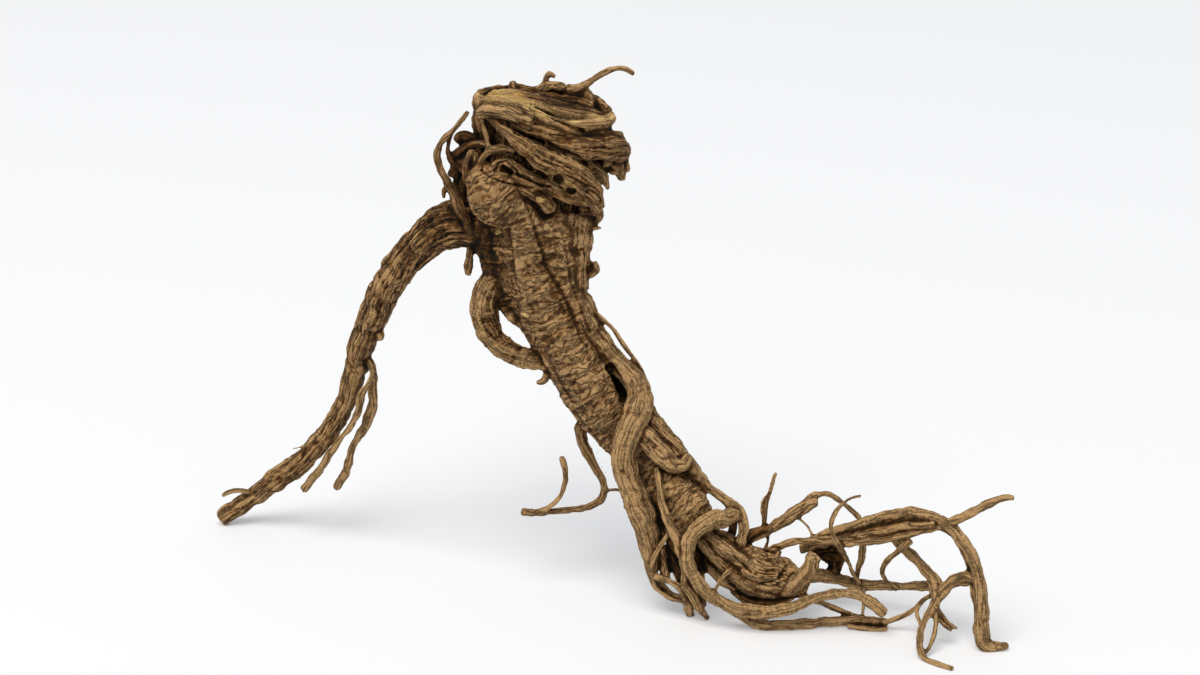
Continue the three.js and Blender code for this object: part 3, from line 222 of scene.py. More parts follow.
            [-44.9, 42, 14.5, 1.9], [-43.1, 38, 15, 1.6], [-41.4, 33.6, 16, 1.4],
            [-39.6, 29.6, 18, 1.2]],
        "innerLoop": [[-46.9, 66.6, 17, 0.9], [-48.4, 62.6, 17.5, 0.95], [-48.5, 58.8, 18, 1],
            [-46.6, 55.6, 18, 1.1], [-43.6, 53.6, 17, 1.4]],
        "crossTwist": [[-48.2, 56.6, 18.5, 1.3], [-45.4, 58.8, 19, 1.5], [-42, 61.2, 19, 1.4],
            [-38.6, 62, 19, 1.6], [-35.4, 61.2, 18, 1.5]],
        # A dark knot behind the head's rootlets: painted shade.
        "darkKnot": [[-46.2, 62.6, 20, 1.4], [-44.6, 64, 21, 2.2], [-42.4, 63.8, 21, 2.1],
            [-39.6, 62.6, 21, 1.6]],
        "gillA": [[-40.7, 60, 14, 1.1], [-42.4, 56, 13, 1.5], [-42.8, 51.6, 12.5, 1.7],
            [-40.8, 47.4, 12, 1.8]],
        "gillB": [[-39.8, 59, 14, 1.2], [-39.6, 54.6, 11.5, 1.4], [-38, 50, 9, 1.5],
            [-35.4, 46.4, 6.5, 1.5]],
        # Dark fills behind the head's rootlet loops: painted shade in the gaps.
        "darkWeb": [[-47.4, 51.4, 18, 1.7], [-45.4, 55, 19, 2.3], [-43, 58.4, 20, 2.4],
            [-38, 60.6, 20, 3]],
        "darkWebLow": [[-46.4, 40, 20, 2], [-45.2, 45, 20, 2.6], [-44, 50, 20, 2.8],
            [-40, 55, 20, 3.4]],
        "spur": [[-47.4, 49, 15, 1.5], [-49.7, 47.2, 15.5, 1.1], [-49.9, 44.4, 15.5, 0.6]],
        "hangingNub": [[-41.4, 31, 19, 1.6], [-41.6, 26.8, 18.5, 1.5], [-42, 23, 18.5, 1.8],
            [-42.2, 20, 18.5, 1.3]],
        "paleChip": [[-29.6, 35.6, 9, 1.3], [-33.6, 33.2, 8, 1]],
        "darkNub": [[-24, 8.6, 15, 2.4], [-28, 6.8, 15, 2.5], [-29.8, 6.4, 15, 1.7]],
        "curl": [[-18, -7.6, 12, 1.4], [-17.2, -10.6, 11.5, 1.25], [-17.1, -12.8, 11, 1.25],
            [-18.5, -14.2, 11, 1.15], [-20.3, -14, 11, 0.8]],
        "edgeRootlet": [[-2.6, 8.6, 12.5, 1.2], [1.8, 5, 11, 0.95], [4.6, 2.2, 10.5, 0.9],
            [6.9, -1.4, 10, 0.8], [9.7, -5.3, 9.5, 0.8], [12.9, -9.6, 8.5, 0.75],
            [14.6, -13.6, 6.5, 0.8]],
        "crownTwig": [[-10, 78.8, 31, 2.2], [-5.6, 80.4, 29.5, 1.5], [-2.6, 82.1, 29, 1.25],
            [0.4, 84.2, 28.5, 1.1], [4, 85.7, 28, 1.05], [8, 85.9, 27.5, 1.05],
            [11, 84.5, 27.5, 0.85]],
        "crownStub": [[-17.7, 79.4, 36, 1.3], [-17.4, 82.4, 36, 1], [-16.2, 84.4, 36, 1],
            [-14.4, 83.3, 36, 0.6]],
        "flakeA": [[0.6, 57.4, 17, 3.6], [4.6, 55, 18, 3], [6.6, 52.6, 18, 2], [7, 50.2, 18, 1.2]],
        "flakeB": [[5, 58.4, 21, 3], [7.4, 56, 20.4, 2], [8.9, 53, 20, 1.1]],
        "flakeC": [[-6, 55, 16, 3.4], [-1.6, 53.4, 15, 3], [0.8, 51.6, 14.6, 2.2],
            [1.8, 49.6, 14.6, 1.3], [2.4, 47.4, 15, 0.7]],
        "ringStub": [[-6, 20.6, 15.5, 1.7], [-3, 20.8, 14.5, 1.8], [-1, 22.2, 14, 1.5],
            [-1.6, 24.6, 14, 1]],
        "edgeLump": [[-6.4, 36.4, 17, 2.4], [-4.6, 33, 17, 2.4], [-4.4, 29.6, 17, 2.2],
            [-6, 26, 17, 2]],
        "straightTwig": [[-5, 34.2, 15, 0.8], [-2, 34.7, 14, 0.6], [0.4, 35.2, 14, 0.5]],
        "legRootletA": [[-75.2, -6, 39.5, 1.3], [-72.9, -10.6, 37.5, 1.1], [-73.5, -14, 36.5, 1.2],
            [-76.2, -18, 36.5, 1.4], [-77.3, -23, 37.5, 1.3], [-79.5, -28, 38.5, 1.1],
            [-83, -32.3, 39.5, 1.1], [-86, -36.8, 40.5, 1.15], [-88.7, -41, 41.5, 1.35],
            [-91.3, -44.5, 42.5, 1.5], [-95, -48.6, 43.5, 1.3]],
        "legRootletB": [[-75.6, -5, 41, 1.4], [-72.4, -10.5, 40, 1.25], [-72.7, -15.4, 40, 1.6],
            [-73, -20.6, 40.5, 1.75], [-74.2, -25.5, 41, 1.7], [-76.6, -30.3, 41.5, 1.6],
            [-79.2, -34.8, 42, 1.25], [-80.2, -39.5, 42.5, 1.3], [-81.8, -43.5, 43, 1.55],
            [-84.3, -48.3, 43.5, 1.55]],
        "legNub": [[-73, 2.6, 36, 1.6], [-70.5, 1, 35.5, 1.8], [-70.4, -0.9, 35.5, 1.6]],
        "legTwig": [[-110, -50.4, 53, 1.5], [-114.6, -49, 52, 1.1], [-118.4, -49.3, 51.5, 0.95],
            [-120.9, -50.7, 51, 0.7]],
        "backFork": [[-21, -56, 8.5, 1], [-16.4, -54.3, 8, 0.95], [-13, -51, 7.5, 0.95],
            [-11.3, -47.4, 7, 1], [-11, -43.4, 7, 1.05], [-12.2, -38.2, 7, 1]],
        "frontRootlet": [[18.2, -42, -7, 1.1], [18.9, -46.6, -11.5, 1.3], [20, -53, -14.5, 1.4],
            [22, -59, -16.5, 1.5], [24.5, -64.5, -18.3, 1.6], [26.3, -70, -19.5, 1.6],
            [27.2, -76, -20.5, 1.6], [27.4, -81, -20, 1.8], [28.2, -86, -18, 1.6],
            [28.8, -89.2, -16.4, 1.35]],
        "secondToe": [[27.3, -78, -20.5, 1.7], [29.8, -83.2, -21.2, 1.7], [32.4, -87.4, -20.4, 1.4],
            [34.4, -90.1, -19.4, 1.15]],
        # A dark wedge in the heel: painted shade.
        "darkWedge": [[26.6, -69, -14, 2.2], [29.2, -75.6, -16.5, 2.7], [31.4, -81.4, -18.5, 2.5],
            [32.8, -86.4, -20, 1.6]],
        "twistA": [[15.8, -75.4, -15.5, 1.3], [17, -71.4, -17.2, 1.15], [19, -67.4, -17.6, 1.05],
            [20.9, -64.3, -17.4, 0.95], [22.8, -61.4, -16.6, 0.9]],
        "twistB": [[15.8, -75.2, -15, 1.4], [18.6, -76.8, -17, 1.15], [22.5, -78.2, -18.8, 1.15],
            [25.8, -80.6, -20.2, 1.3], [27.4, -84, -20.6, 1.2]],
        "heelArc": [[15.8, -75.6, -15, 1.2], [17.6, -79.4, -15, 1.05], [20.6, -82.2, -15.8, 0.95],
            [24.6, -84.2, -17.6, 0.85], [27.8, -84.6, -19.6, 0.8]],
        "heelArcInner": [[16.2, -76, -14, 1], [20, -79, -14.6, 0.9], [23.2, -82.2, -16, 0.85],
            [26.8, -83, -18.8, 0.8]],
        "innerLight": [[16.4, -61, -10.5, 1.6], [19.2, -68, -12.4, 1.8], [20.7, -74, -14.4, 1.7],
            [21.6, -78.4, -18, 1.3]],
        # A dark line inside the heel: painted shade.
        "innerDark": [[22, -58, -8, 2], [23.4, -66, -11, 2.2], [24.8, -72.5, -13.5, 2.2],
            [26.4, -78.4, -17.6, 1.8]],
        "crossLink": [[42.4, -73.4, -21, 1], [40, -75.8, -22.6, 0.95], [38, -78.6, -23.6, 0.85],
            [36.4, -82, -24.6, 0.8]],
        "loopOver": [[63, -55, -2.8, 1.4], [67.4, -51.2, -1.6, 1.2], [71, -50.1, -1, 1.1],
            [74.6, -50.8, -1, 1.05], [78, -53.2, -2, 1.05], [81.2, -56, -4.5, 1.05],
            [84, -59.2, -9, 1.1], [86, -61.6, -14, 1.1]],
        "darkJoint": [[44.4, -67, -13, 1.5], [47.2, -63.6, -11.6, 1.6], [50.4, -61.8, -9.6, 1.4],
            [54.6, -60.6, -7.4, 1.2]],
        "uprightTwig": [[52.2, -69.4, -13, 0.9], [53.7, -64.4, -8, 0.8], [52.7, -60.4, -7.8, 1.1],
            [52.6, -57, -8, 1.05], [53.2, -53.5, -8, 1], [54.2, -50, -8, 0.8], [55.2, -47, -8, 0.7],
            [55.8, -44.6, -8, 0.7], [56.4, -43.2, -8, 0.6]],
        "lowRope": [[54, -69, -14, 1.8], [59.4, -65.8, -14.2, 1.4], [66, -65, -15.5, 1.3],
            [74, -65.3, -17.5, 1.7], [82, -65, -20, 1.8], [90, -64.2, -22.5, 1.7],
            [98, -62.6, -25, 1.6], [106, -60.8, -27.8, 1.5], [112, -59.2, -30, 1.5],
            [118, -56.6, -32, 1.5], [124, -53.7, -33.5, 1.45], [129, -51.4, -34.5, 1.2],
            [132.6, -51.4, -35.5, 0.8]],
        "ropeKnot": [[97, -57, -21.4, 1.6], [99.6, -54.9, -22.6, 1.3], [101.4, -55.2, -23.6, 1.2]],
        "curlDown": [[99, -64.6, -25, 1.5], [95.6, -68.2, -26, 1.2], [92, -71.2, -25.6, 1.05],
            [90.2, -74.6, -23.6, 1], [91.5, -77.9, -20.4, 1], [95, -80.6, -18.4, 0.95]],
        "overTwig": [[83.6, -50.8, -18, 0.75], [80.5, -51.4, -19, 0.75], [77.3, -53.8, -20, 0.8],
            [74.9, -56.8, -21, 0.85], [73.9, -60.6, -21.6, 0.85], [75, -64.5, -21.6, 0.85],
            [77.5, -68.3, -20.4, 0.85], [79.6, -72, -18.6, 0.9], [81, -75.5, -16.6, 0.9],
            [83, -78.7, -14.8, 0.9]],
        "strut": [[84, -64, -18.5, 1.2], [83.9, -69, -17, 1.15], [83, -73.4, -15.2, 1.05],
            [81.8, -78.6, -13, 1]],
        "hangingLeft": [[106.6, -85, -34, 1.2], [107.3, -89, -37, 1.05], [107.2, -93, -39.6, 0.95],
            [106.2, -97, -42.4, 0.9], [104.6, -100, -44.8, 0.85], [103, -101.6, -47, 0.85]],
        "hangingRight": [[107, -86, -35, 1], [110, -89.8, -36, 0.9], [112.4, -91.8, -36.6, 0.85],
            [114.3, -93.2, -37, 0.8]],
        "reachLeft": [[107, -82, -30, 1.1], [103.6, -83.8, -29.4, 0.95], [101, -86.5, -29, 0.9],
            [97.5, -88.8, -28, 0.9], [92.6, -90.8, -26.6, 0.9], [90, -91.3, -25.4, 1]],
        "floorSplit": [[79, -92.4, -26.4, 1], [86, -93.2, -27.6, 1.05], [92.2, -93.3, -27.7, 1]],
        "slopingRootlet": [[60, -80, -19.5, 1.6], [66.5, -83.4, -21.5, 1.15], [72, -85.4, -22, 1.05],
            [77, -87.4, -22.4, 1.05], [82, -89.3, -23, 1.05], [86, -90.8, -24.2, 1.05]],
        # A dark line under the heel: painted shade.
        "darkUnderside": [[42, -81, -18, 1.4], [47.4, -84.4, -21, 1.3], [53.4, -85.4, -22.6, 1.3],
            [59.6, -84, -22, 1.2], [64.6, -80.6, -20, 1.3]],
        "hiddenToeA": [[51, -72, -13, 2.6], [53.6, -70.6, -5, 2], [55.6, -72.4, 3, 1.7],
            [57, -75.2, 8, 1.5], [58, -77, 11, 1.4]],
        "hiddenToeB": [[30, -61, -6, 2.8], [31.4, -69, -3, 2.1], [32, -75.4, 2, 1.6],
            [32.6, -79.2, 5.4, 1.4]],
    },
    "twigs": {
        "backLink": [[0.6, -50, 10.4, 0.85], [3.6, -48.8, 9.6, 0.75], [8, -49.3, 7, 0.75],
            [13, -50.4, 2.6, 0.8], [18.6, -50.6, -2, 0.8]],
        "twigLoop": [[52.4, -58.6, -8.4, 0.5], [51.6, -54.6, -8.6, 0.45], [52.2, -51.7, -8.6, 0.45],
            [54, -49.8, -8.2, 0.5]],
        "thinBrace": [[62.4, -57, -3.8, 0.6], [65.8, -59.8, -6, 0.55], [67.3, -62, -9.6, 0.55],
            [68.4, -65, -14.6, 0.6]],
        "shortStrut": [[84.4, -79.6, -13.4, 0.7], [84.3, -84, -18, 0.6], [84.1, -90, -23.6, 0.65]],
        "hangingFork": [[107.3, -89, -37, 0.75], [109.6, -91.8, -37.4, 0.7],
            [112.6, -93.8, -38, 0.65]],
        "backLace": [[103.8, -83.9, -29.4, 0.8], [101.5, -87, -31.6, 0.8], [102.2, -90.6, -36.6, 0.8],
            [103.4, -93, -41, 0.8]],
        "leftFill": [[-35.6, 73.4, 28.5, 3.6], [-34.6, 67, 28, 4.4], [-34, 60, 27, 4]],
        "rearTieA": [[-21, 73, 37, 1.4], [-17, 65, 38, 2.1], [-13, 57, 36.6, 2.3],
            [-10, 48.6, 33.6, 2]],
        "rearTieB": [[-33, 71, 33.6, 1.3], [-27, 62.4, 37, 1.9], [-24, 53.6, 35, 1.7]],
        "rearTieC": [[-3, 67, 32.6, 1.4], [-6, 59, 34.6, 1.8], [-4, 52, 31.6, 1.6],
            [-6, 44, 29.6, 1.4]],
        "ropeRib": [[76, -64.4, -17.4, 1.2], [84, -63, -20.2, 1.5], [92, -61.4, -23, 1.6],
            [100, -60.3, -26, 1.5], [107, -59.6, -29, 1.1]],
        "hair": [[-1, -36, 11, 0.3], [0, -40, 10, 0.25], [2, -43.5, 9, 0.25]],
        "stubTwig": [[-4, 20, 15, 0.4], [-3.2, 15.5, 15, 0.3]],
        "legSpur": [[-91, -31, 48, 0.8], [-94, -34, 48, 0.5], [-96.5, -35.2, 48, 0.4],
            [-98.7, -35.6, 48, 0.35]],
        "legTuft": [[-71, 14, 34, 1.2], [-73.8, 17, 33, 0.8]],
        "heelTuft": [[55.6, -72, -23, 1.1], [57.6, -68.6, -24.5, 0.8]],
        # A dark line behind the heel: painted shade.
        "shadeBehind": [[40.5, -55, -6, 1.5], [42.5, -58, -7, 1.5], [42.5, -62, -9, 1.5],
            [41.5, -65, -11, 1.5]],
        "bodyLump": [[-18, -4.4, 7, 1.6], [-15.5, -8.5, 5.4, 2]],
        "crownLump": [[-28, 79, 33, 1.9], [-28, 82, 33, 1.5]],
        "rimLump": [[-20, 79, 35, 1.8], [-15, 80.6, 35, 1.6], [-11, 79.6, 35, 1.6]],
        "chipA": [[-25.4, 8, 6, 0.9], [-22.6, 6.8, 5, 0.8]],
        "chipB": [[-20.5, 44.4, 4, 0.9], [-17.4, 43.6, 3.4, 0.8]],
        "slabEdge": [[-38, 72.6, 14, 2.4], [-33, 72.8, 9.6, 3], [-27, 72, 7.8, 3],
            [-21.5, 69.8, 7, 2.4]],
        # Dark lines inside the heel: painted shade.
        "heelShadeA": [[19, -52, -8, 2], [19.6, -58, -9, 2.2], [21, -64, -11, 2]],
        "heelShadeB": [[28, -58, -10, 2], [29.4, -63, -12, 2.2], [30.4, -69, -13, 2.2],
            [32, -76, -15, 2]],
    },
}

# How each kind of line is swept: how deep its furrows and rings are as shares of the radius, how flat it
# is, how far its ends bulge, and whether its flat side stays turned to the crown's axis.
kinds = {
    "crown": {"furrow": 0.05, "ring": 0.02, "flat": 0.72, "dome": 0.1, "wraps": False},
    "trunk": {"furrow": 0.085, "ring": 0.02, "flat": 1, "dome": 0.25, "wraps": False},
    "bands": {"furrow": 0.1, "ring": 0.02, "flat": 0.68, "dome": 0.25, "wraps": True},
    "limbs": {"furrow": 0.09, "ring": 0.02, "flat": 1, "dome": 0.25, "wraps": False},
    "rootlets": {"furrow": 0.08, "ring": 0, "flat": 1, "dome": 0.25, "wraps": False},
    "twigs": {"furrow": 0.05, "ring": 0, "flat": 1, "dome": 0.25, "wraps": False},
}


# The places in the frame of points sighted on the card, and how much larger they are there.
def sighted(points):
    across, up, back = points[:, 0], points[:, 1], points[:, 2]
    sin, cos = math.sin(sighting["tilt"]), math.cos(sighting["tilt"])
    nearer = (up * sin - (back - sighting["cardBack"])) / (cos + up * sin / sighting["distance"])
    scale = (sighting["distance"] - nearer) / sighting["distance"]
    x, y, z = sighting["cardCentre"]
    places = [x + across * scale, y + back - sighting["cardBack"], z + up * scale * cos + nearer * sin]
    return np.stack(places, axis=1), scale


# Places and radii along a smooth curve through sighted points.
def smoothLine(points, gap):
    points = np.array(points, dtype=float)
    places, scale = sighted(points)
    knots = np.column_stack([places, points[:, 3] * scale])
    knots = np.vstack([2 * knots[0] - knots[1], knots, 2 * knots[-1] - knots[-2]])
    spacing = np.sqrt(np.linalg.norm(np.diff(knots[:, :3], axis=0), axis=1))
    samples = []
    for i in range(1, len(knots) - 2):
        gapBefore, gapHere, gapAfter = spacing[i - 1 : i + 2]
        before, start, finish, after = knots[i - 1 : i + 3]
        leave = (start - before) / gapBefore - (finish - before) / (gapBefore + gapHere)
        arrive = (after - finish) / gapAfter - (after - start) / (gapHere + gapAfter)
        leave = (leave + (finish - start) / gapHere) * gapHere
        arrive = (arrive + (finish - start) / gapHere) * gapHere
        steps = max(2, round(np.linalg.norm((finish - start)[:3]) / gap))
        t = (np.arange(steps) / steps)[:, None]
        bend = (3 * (finish - start) - 2 * leave - arrive) * t**2
        samples.append(start + leave * t + bend + (2 * (start - finish) + leave + arrive) * t**3)
    samples.append(knots[-2:-1])
    return np.vstack(samples)


# Smooth noise from about -1 to 1, whose lumps are about one unit wide.
def noise(points, seed):
    cells, strength = 256, 1.6  # units until it repeats, and what brings it to about -1 to 1
    maker = np.random.default_rng(seed)
    order = maker.permutation(cells)
    slopes = maker.normal(size=(cells, 3))
    slopes /= np.linalg.norm(slopes, axis=1)[:, None]
    cell = np.floor(points).astype(np.int64)
    inside = points - cell
    ease = inside**3 * (inside * (inside * 6 - 15) + 10)  # flat at both ends, up to its second slope
    total = np.zeros(len(points))
    for corner in itertools.product((0, 1), repeat=3):
        x, y, z = (cell + corner).T
        pick = order[(order[(order[x % cells] + y) % cells] + z) % cells]
        height = np.einsum("ij,ij->i", slopes[pick], inside - corner)
        weight = np.prod(np.where(np.array(corner) == 1, ease, 1 - ease), axis=1)
        total += height * weight
    return total * strength


# How a root strays from its line: it swings by a share of its radius, up to mostSwing, and it swells by
# a share of its radius too, less where it is thicker than thick. Lengths are in mm.
gnarl = {
    "swing": 0.2,
    "mostSwing": 0.45,
    "swingLength": 4.2,
    "swell": 0.2,
    "swellLength": 3.2,
    "thick": 2.0,
    "leastSwell": 0.2,
    "apart": (7.1, 3.3),  # steps through the noise from line to line
    "axisApart": 9.5,
    "seed": 3,
}


def gnarled(samples, turn):
    steps = np.linalg.norm(np.diff(samples[:, :3], axis=0), axis=1)
    along = np.append(0, np.cumsum(steps))
    spots = np.column_stack([along, *(np.full(len(along), turn * apart) for apart in gnarl["apart"])])
    swing = np.minimum(gnarl["swing"] * samples[:, 3], gnarl["mostSwing"])
    moved = np.array(samples)
    for axis in range(3):
        where = spots / gnarl["swingLength"] + gnarl["axisApart"] * axis
        moved[:, axis] += swing * noise(where, gnarl["seed"])
    swell = gnarl["swell"] * np.clip(gnarl["thick"] / samples[:, 3], gnarl["leastSwell"], 1)
    moved[:, 3] *= 1 + swell * noise(spots / gnarl["swellLength"], gnarl["seed"] + 1)
    return moved


# Long furrows that wind slowly round a root. Each row is one set of them: how strong it is, how many go
# round, how far they turn from line to line and with each mm, and how fast and from where they sway.
furrowSets = [
    (0.5, 3, 1.0, 0.035, 0.0, 0.0),
    (0.35, 5, 2.3, -0.05, 0.11, 0.0),
    (0.25, 8, 3.7, 0.07, 0.17, 1.0),
]

# Rings across a root: how strong, how close, how far they wander going round it, and how often.
ringSets = [
    (1.0, 0.9, 1.2, 1),
    (0.7, 1.7, 1.0, 2),
]


def furrows(angle, along, turn):
    total = 0
    for share, count, turned, twist, pace, start in furrowSets:
        sway = np.sin(along * pace + start * turn)
        total = total + share * np.sin(count * angle + turned * turn + along * twist + sway)
    return total


def rings(angle, along, turn):
    total = 0
    for share, pace, wander, count in ringSets:
        total = total + share * np.sin(along * pace + wander * np.sin(count * angle + turn))
    return total


# Tangent, side and depth directions that turn smoothly along a line.
def frameAlong(places, wraps):
    ahead = np.vstack([places[1:], places[-1:]])
    behind = np.vstack([places[:1], places[:-1]])
    tangents = ahead - behind
    tangents /= np.linalg.norm(tangents, axis=1)[:, None]
    sides = np.empty_like(places)
    side = np.array([1.0, 0.0, 0.0])
    for i, tangent in enumerate(tangents):
        if wraps:
            out = np.append(places[i, :2] - sighting["crownAxis"], 0)
            side = np.cross(out, tangent)
        side = side - side.dot(tangent) * tangent
        side /= np.linalg.norm(side)
        sides[i] = side
    return tangents, sides, np.cross(tangents, sides)


# The tubes that are swept along the lines and fused: the gap between their rings, the sides of their
# faces and the voxels of the fused skin in mm, and how far the furrows turn from line to line.
tubes = {
    "gap": 0.8,
    "side": 0.8,
    "leastSides": 8,
    "leastRadius": 0.25,
    "voxel": 0.42,
    "coarseVoxel": 0.7,
    "lineTurn": 1.3,
}


# The faces of a tube of some rings, whose corners start at first and end with the tips of its two ends.
def tubeFacesFrom(first, count, around):
    here = np.arange(around)
    after = (here + 1) % around
    rows = first + np.arange(count - 1)[:, None] * around
    sides = [rows + here, rows + after, rows + after + around, rows + here + around]
    faces = np.stack(sides, axis=-1).reshape(-1, 4).tolist()
    lastRing = first + (count - 1) * around
    startTip = lastRing + around
    endTip = startTip + 1
    faces.extend([startTip, first + b, first + a] for a, b in zip(here.tolist(), after.tolist()))
    faces.extend([endTip, lastRing + a, lastRing + b] for a, b in zip(here.tolist(), after.tolist()))
    return faces


# Every line as a closed tube, and a record of each of its rings.
def sweptRoots():
    vertices, faces, ringOf, names, parts = [], [], [], [], []
    corner = ring = turn = 0
    for kindName, group in lines.items():
        kind = kinds[kindName]
        for name, points in group.items():
            turn += tubes["lineTurn"]
            samples = gnarled(smoothLine(points, tubes["gap"]), turn)
            places = samples[:, :3]
            radii = np.maximum(samples[:, 3], tubes["leastRadius"])
            tangents, sides, depths = frameAlong(places, kind["wraps"])
            along = np.append(0, np.cumsum(np.linalg.norm(np.diff(places, axis=0), axis=1)))
            around = max(tubes["leastSides"], round(2 * math.pi * radii.mean() / tubes["side"]))
            angle = np.arange(around) / around * 2 * math.pi
            swell = 1 + kind["furrow"] * furrows(angle[None], along[:, None], turn)
            swell = swell + kind["ring"] * rings(angle[None], along[:, None], turn)
            wide = np.cos(angle) * radii[:, None] * swell
            deep = np.sin(angle) * radii[:, None] * swell * kind["flat"]
            tube = places[:, None] + sides[:, None] * wide[..., None] + depths[:, None] * deep[..., None]
            count = len(places)
            vertices.append(tube.reshape(-1, 3))
            ringOf.append(ring + np.repeat(np.arange(count), around))
            for end, inner in ((0, 1), (count - 1, count - 2)):
                outwards = places[end] - places[inner]
                outwards /= np.linalg.norm(outwards)
                vertices.append((places[end] + outwards * radii[end] * kind["dome"])[None])
                ringOf.append([ring + end])
            faces.extend(tubeFacesFrom(corner, count, around))
            parts.append({
                "place": places, "tangent": tangents, "side": sides, "depth": depths, "along": along,
                "radius": radii, "line": np.full(count, len(names)), "last": np.arange(count) == count - 1,
            })
            corner += count * around + 2
            ring += count
            names.append((kindName, name))
    record = {key: np.concatenate([part[key] for part in parts]) for key in parts[0]}
    return np.vstack(vertices), faces, np.concatenate(ringOf), record, names


def meshFrom(name, places, faces):
    mesh = bpy.data.meshes.new(name)
    mesh.from_pydata(places.tolist(), [], faces)
    mesh.update()
    return mesh


# The tubes as one skin.
def fused(mesh, voxel):
    holder = bpy.data.objects.new("fusing", mesh)
    bpy.context.collection.objects.link(holder)
    remesh = holder.modifiers.new("fuse", "REMESH")
    remesh.mode = "VOXEL"
    remesh.voxel_size = voxel * millimetre
    whole = bpy.data.meshes.new_from_object(holder.evaluated_get(bpy.context.evaluated_depsgraph_get()))
    bpy.data.objects.remove(holder)
    bpy.data.meshes.remove(mesh)
    return whole


def readVectors(collection, name):
    flat = np.empty(len(collection) * 3, dtype=np.float32)
    collection.foreach_get(name, flat)
    return flat.reshape(-1, 3).astype(float)


# The fused skin as arrays: its places in mm, its edges, and averages over neighbouring points.
class Skin:
    def __init__(self, mesh):
        self.mesh = mesh
        self.places = readVectors(mesh.vertices, "co") / millimetre
        edges = np.empty(len(mesh.edges) * 2, dtype=np.int32)
        mesh.edges.foreach_get("vertices", edges)
        self.edges = edges.reshape(-1, 2)
        self.neighbours = np.maximum(np.bincount(edges, minlength=len(self.places)), 1)

    # Values of every point moved towards the mean of its neighbours, some rounds over.
    def averaged(self, values, rounds, share=1.0):
        values = np.array(values, dtype=float)
        columns = values.reshape(len(values), -1)
        first, second = self.edges[:, 0], self.edges[:, 1]
        for _ in range(rounds):
            for k in range(columns.shape[1]):
                column = columns[:, k]
                total = np.bincount(first, column[second], len(column))
                total += np.bincount(second, column[first], len(column))
                columns[:, k] += share * (total / self.neighbours - column)
        return columns.reshape(values.shape)

    def normals(self):
        self.mesh.vertices.foreach_set("co", (self.places * millimetre).astype(np.float32).ravel())
        self.mesh.update()
        return readVectors(self.mesh.vertex_normals, "vector")


# For each place, which of some rings has the nearest centre.
def nearestRings(places, rings, centres):
    batch = 20000  # places at a time, to spare memory
    nearest = np.empty(len(places), dtype=np.int64)
    for first in range(0, len(places), batch):
        some = places[first : first + batch]
        gaps = np.linalg.norm(some[:, None] - centres[rings][None], axis=2)
        nearest[first : first + batch] = rings[np.argmin(gaps, axis=1)]
    return nearest


# Lines that grew as one with another share its grain, so that wrinkles run on across them.
guides = {
    "middleColumn": "taproot",
    "rightFlank": "taproot",
    "leftLobe": "taproot",
    "slotBack": "taproot",
    "shoulderFold": "shoulder",
}


# For every point of the skin: its line, the line whose grain it shares, where it is across, through and
# along that line in mm, and the radius there.
def alongRoots(skin, tubePlaces, ringOf, record, names):
    tiny, pastEnd = 1e-6, 1.5  # mm, and how many ring gaps a point may lie past its two rings
    tree = kdtree.KDTree(len(tubePlaces))
    for i, place in enumerate(tubePlaces):
        tree.insert(place, i)
    tree.balance()
    nearest = [tree.find(place)[1] for place in skin.places]
    ring = ringOf[nearest]
    line = record["line"][ring]
    radius = record["radius"][ring]
    order = [name for _, name in names]
    for name, guide in guides.items():
        own = np.flatnonzero(line == order.index(name))
        rings = np.flatnonzero(record["line"] == order.index(guide))
        ring[own] = nearestRings(skin.places[own], rings, record["place"])

    def ahead(rings):
        return np.einsum("ij,ij->i", skin.places - record["place"][rings], record["tangent"][rings])

    last = record["last"]
    isFirst = np.append(True, last[:-1])
    start = np.where((ahead(ring) < 0) & ~isFirst[ring], ring - 1, ring)
    start = np.where(last[start], start - 1, start)
    finish = start + 1
    before = ahead(start)
    length = before - ahead(finish)
    part = before / np.where(np.abs(length) < tiny, tiny, length)
    part = np.clip(part, -pastEnd, 1 + pastEnd)[:, None]

    def between(key):
        values = record[key].reshape(len(record[key]), -1)
        return values[start] * (1 - part) + values[finish] * part

    out = skin.places - between("place")
    grain = np.column_stack([
        np.einsum("ij,ij->i", out, between("side")),
        np.einsum("ij,ij->i", out, between("depth")),
        between("along")[:, 0],
    ])
    return line, record["line"][ring], grain, radius


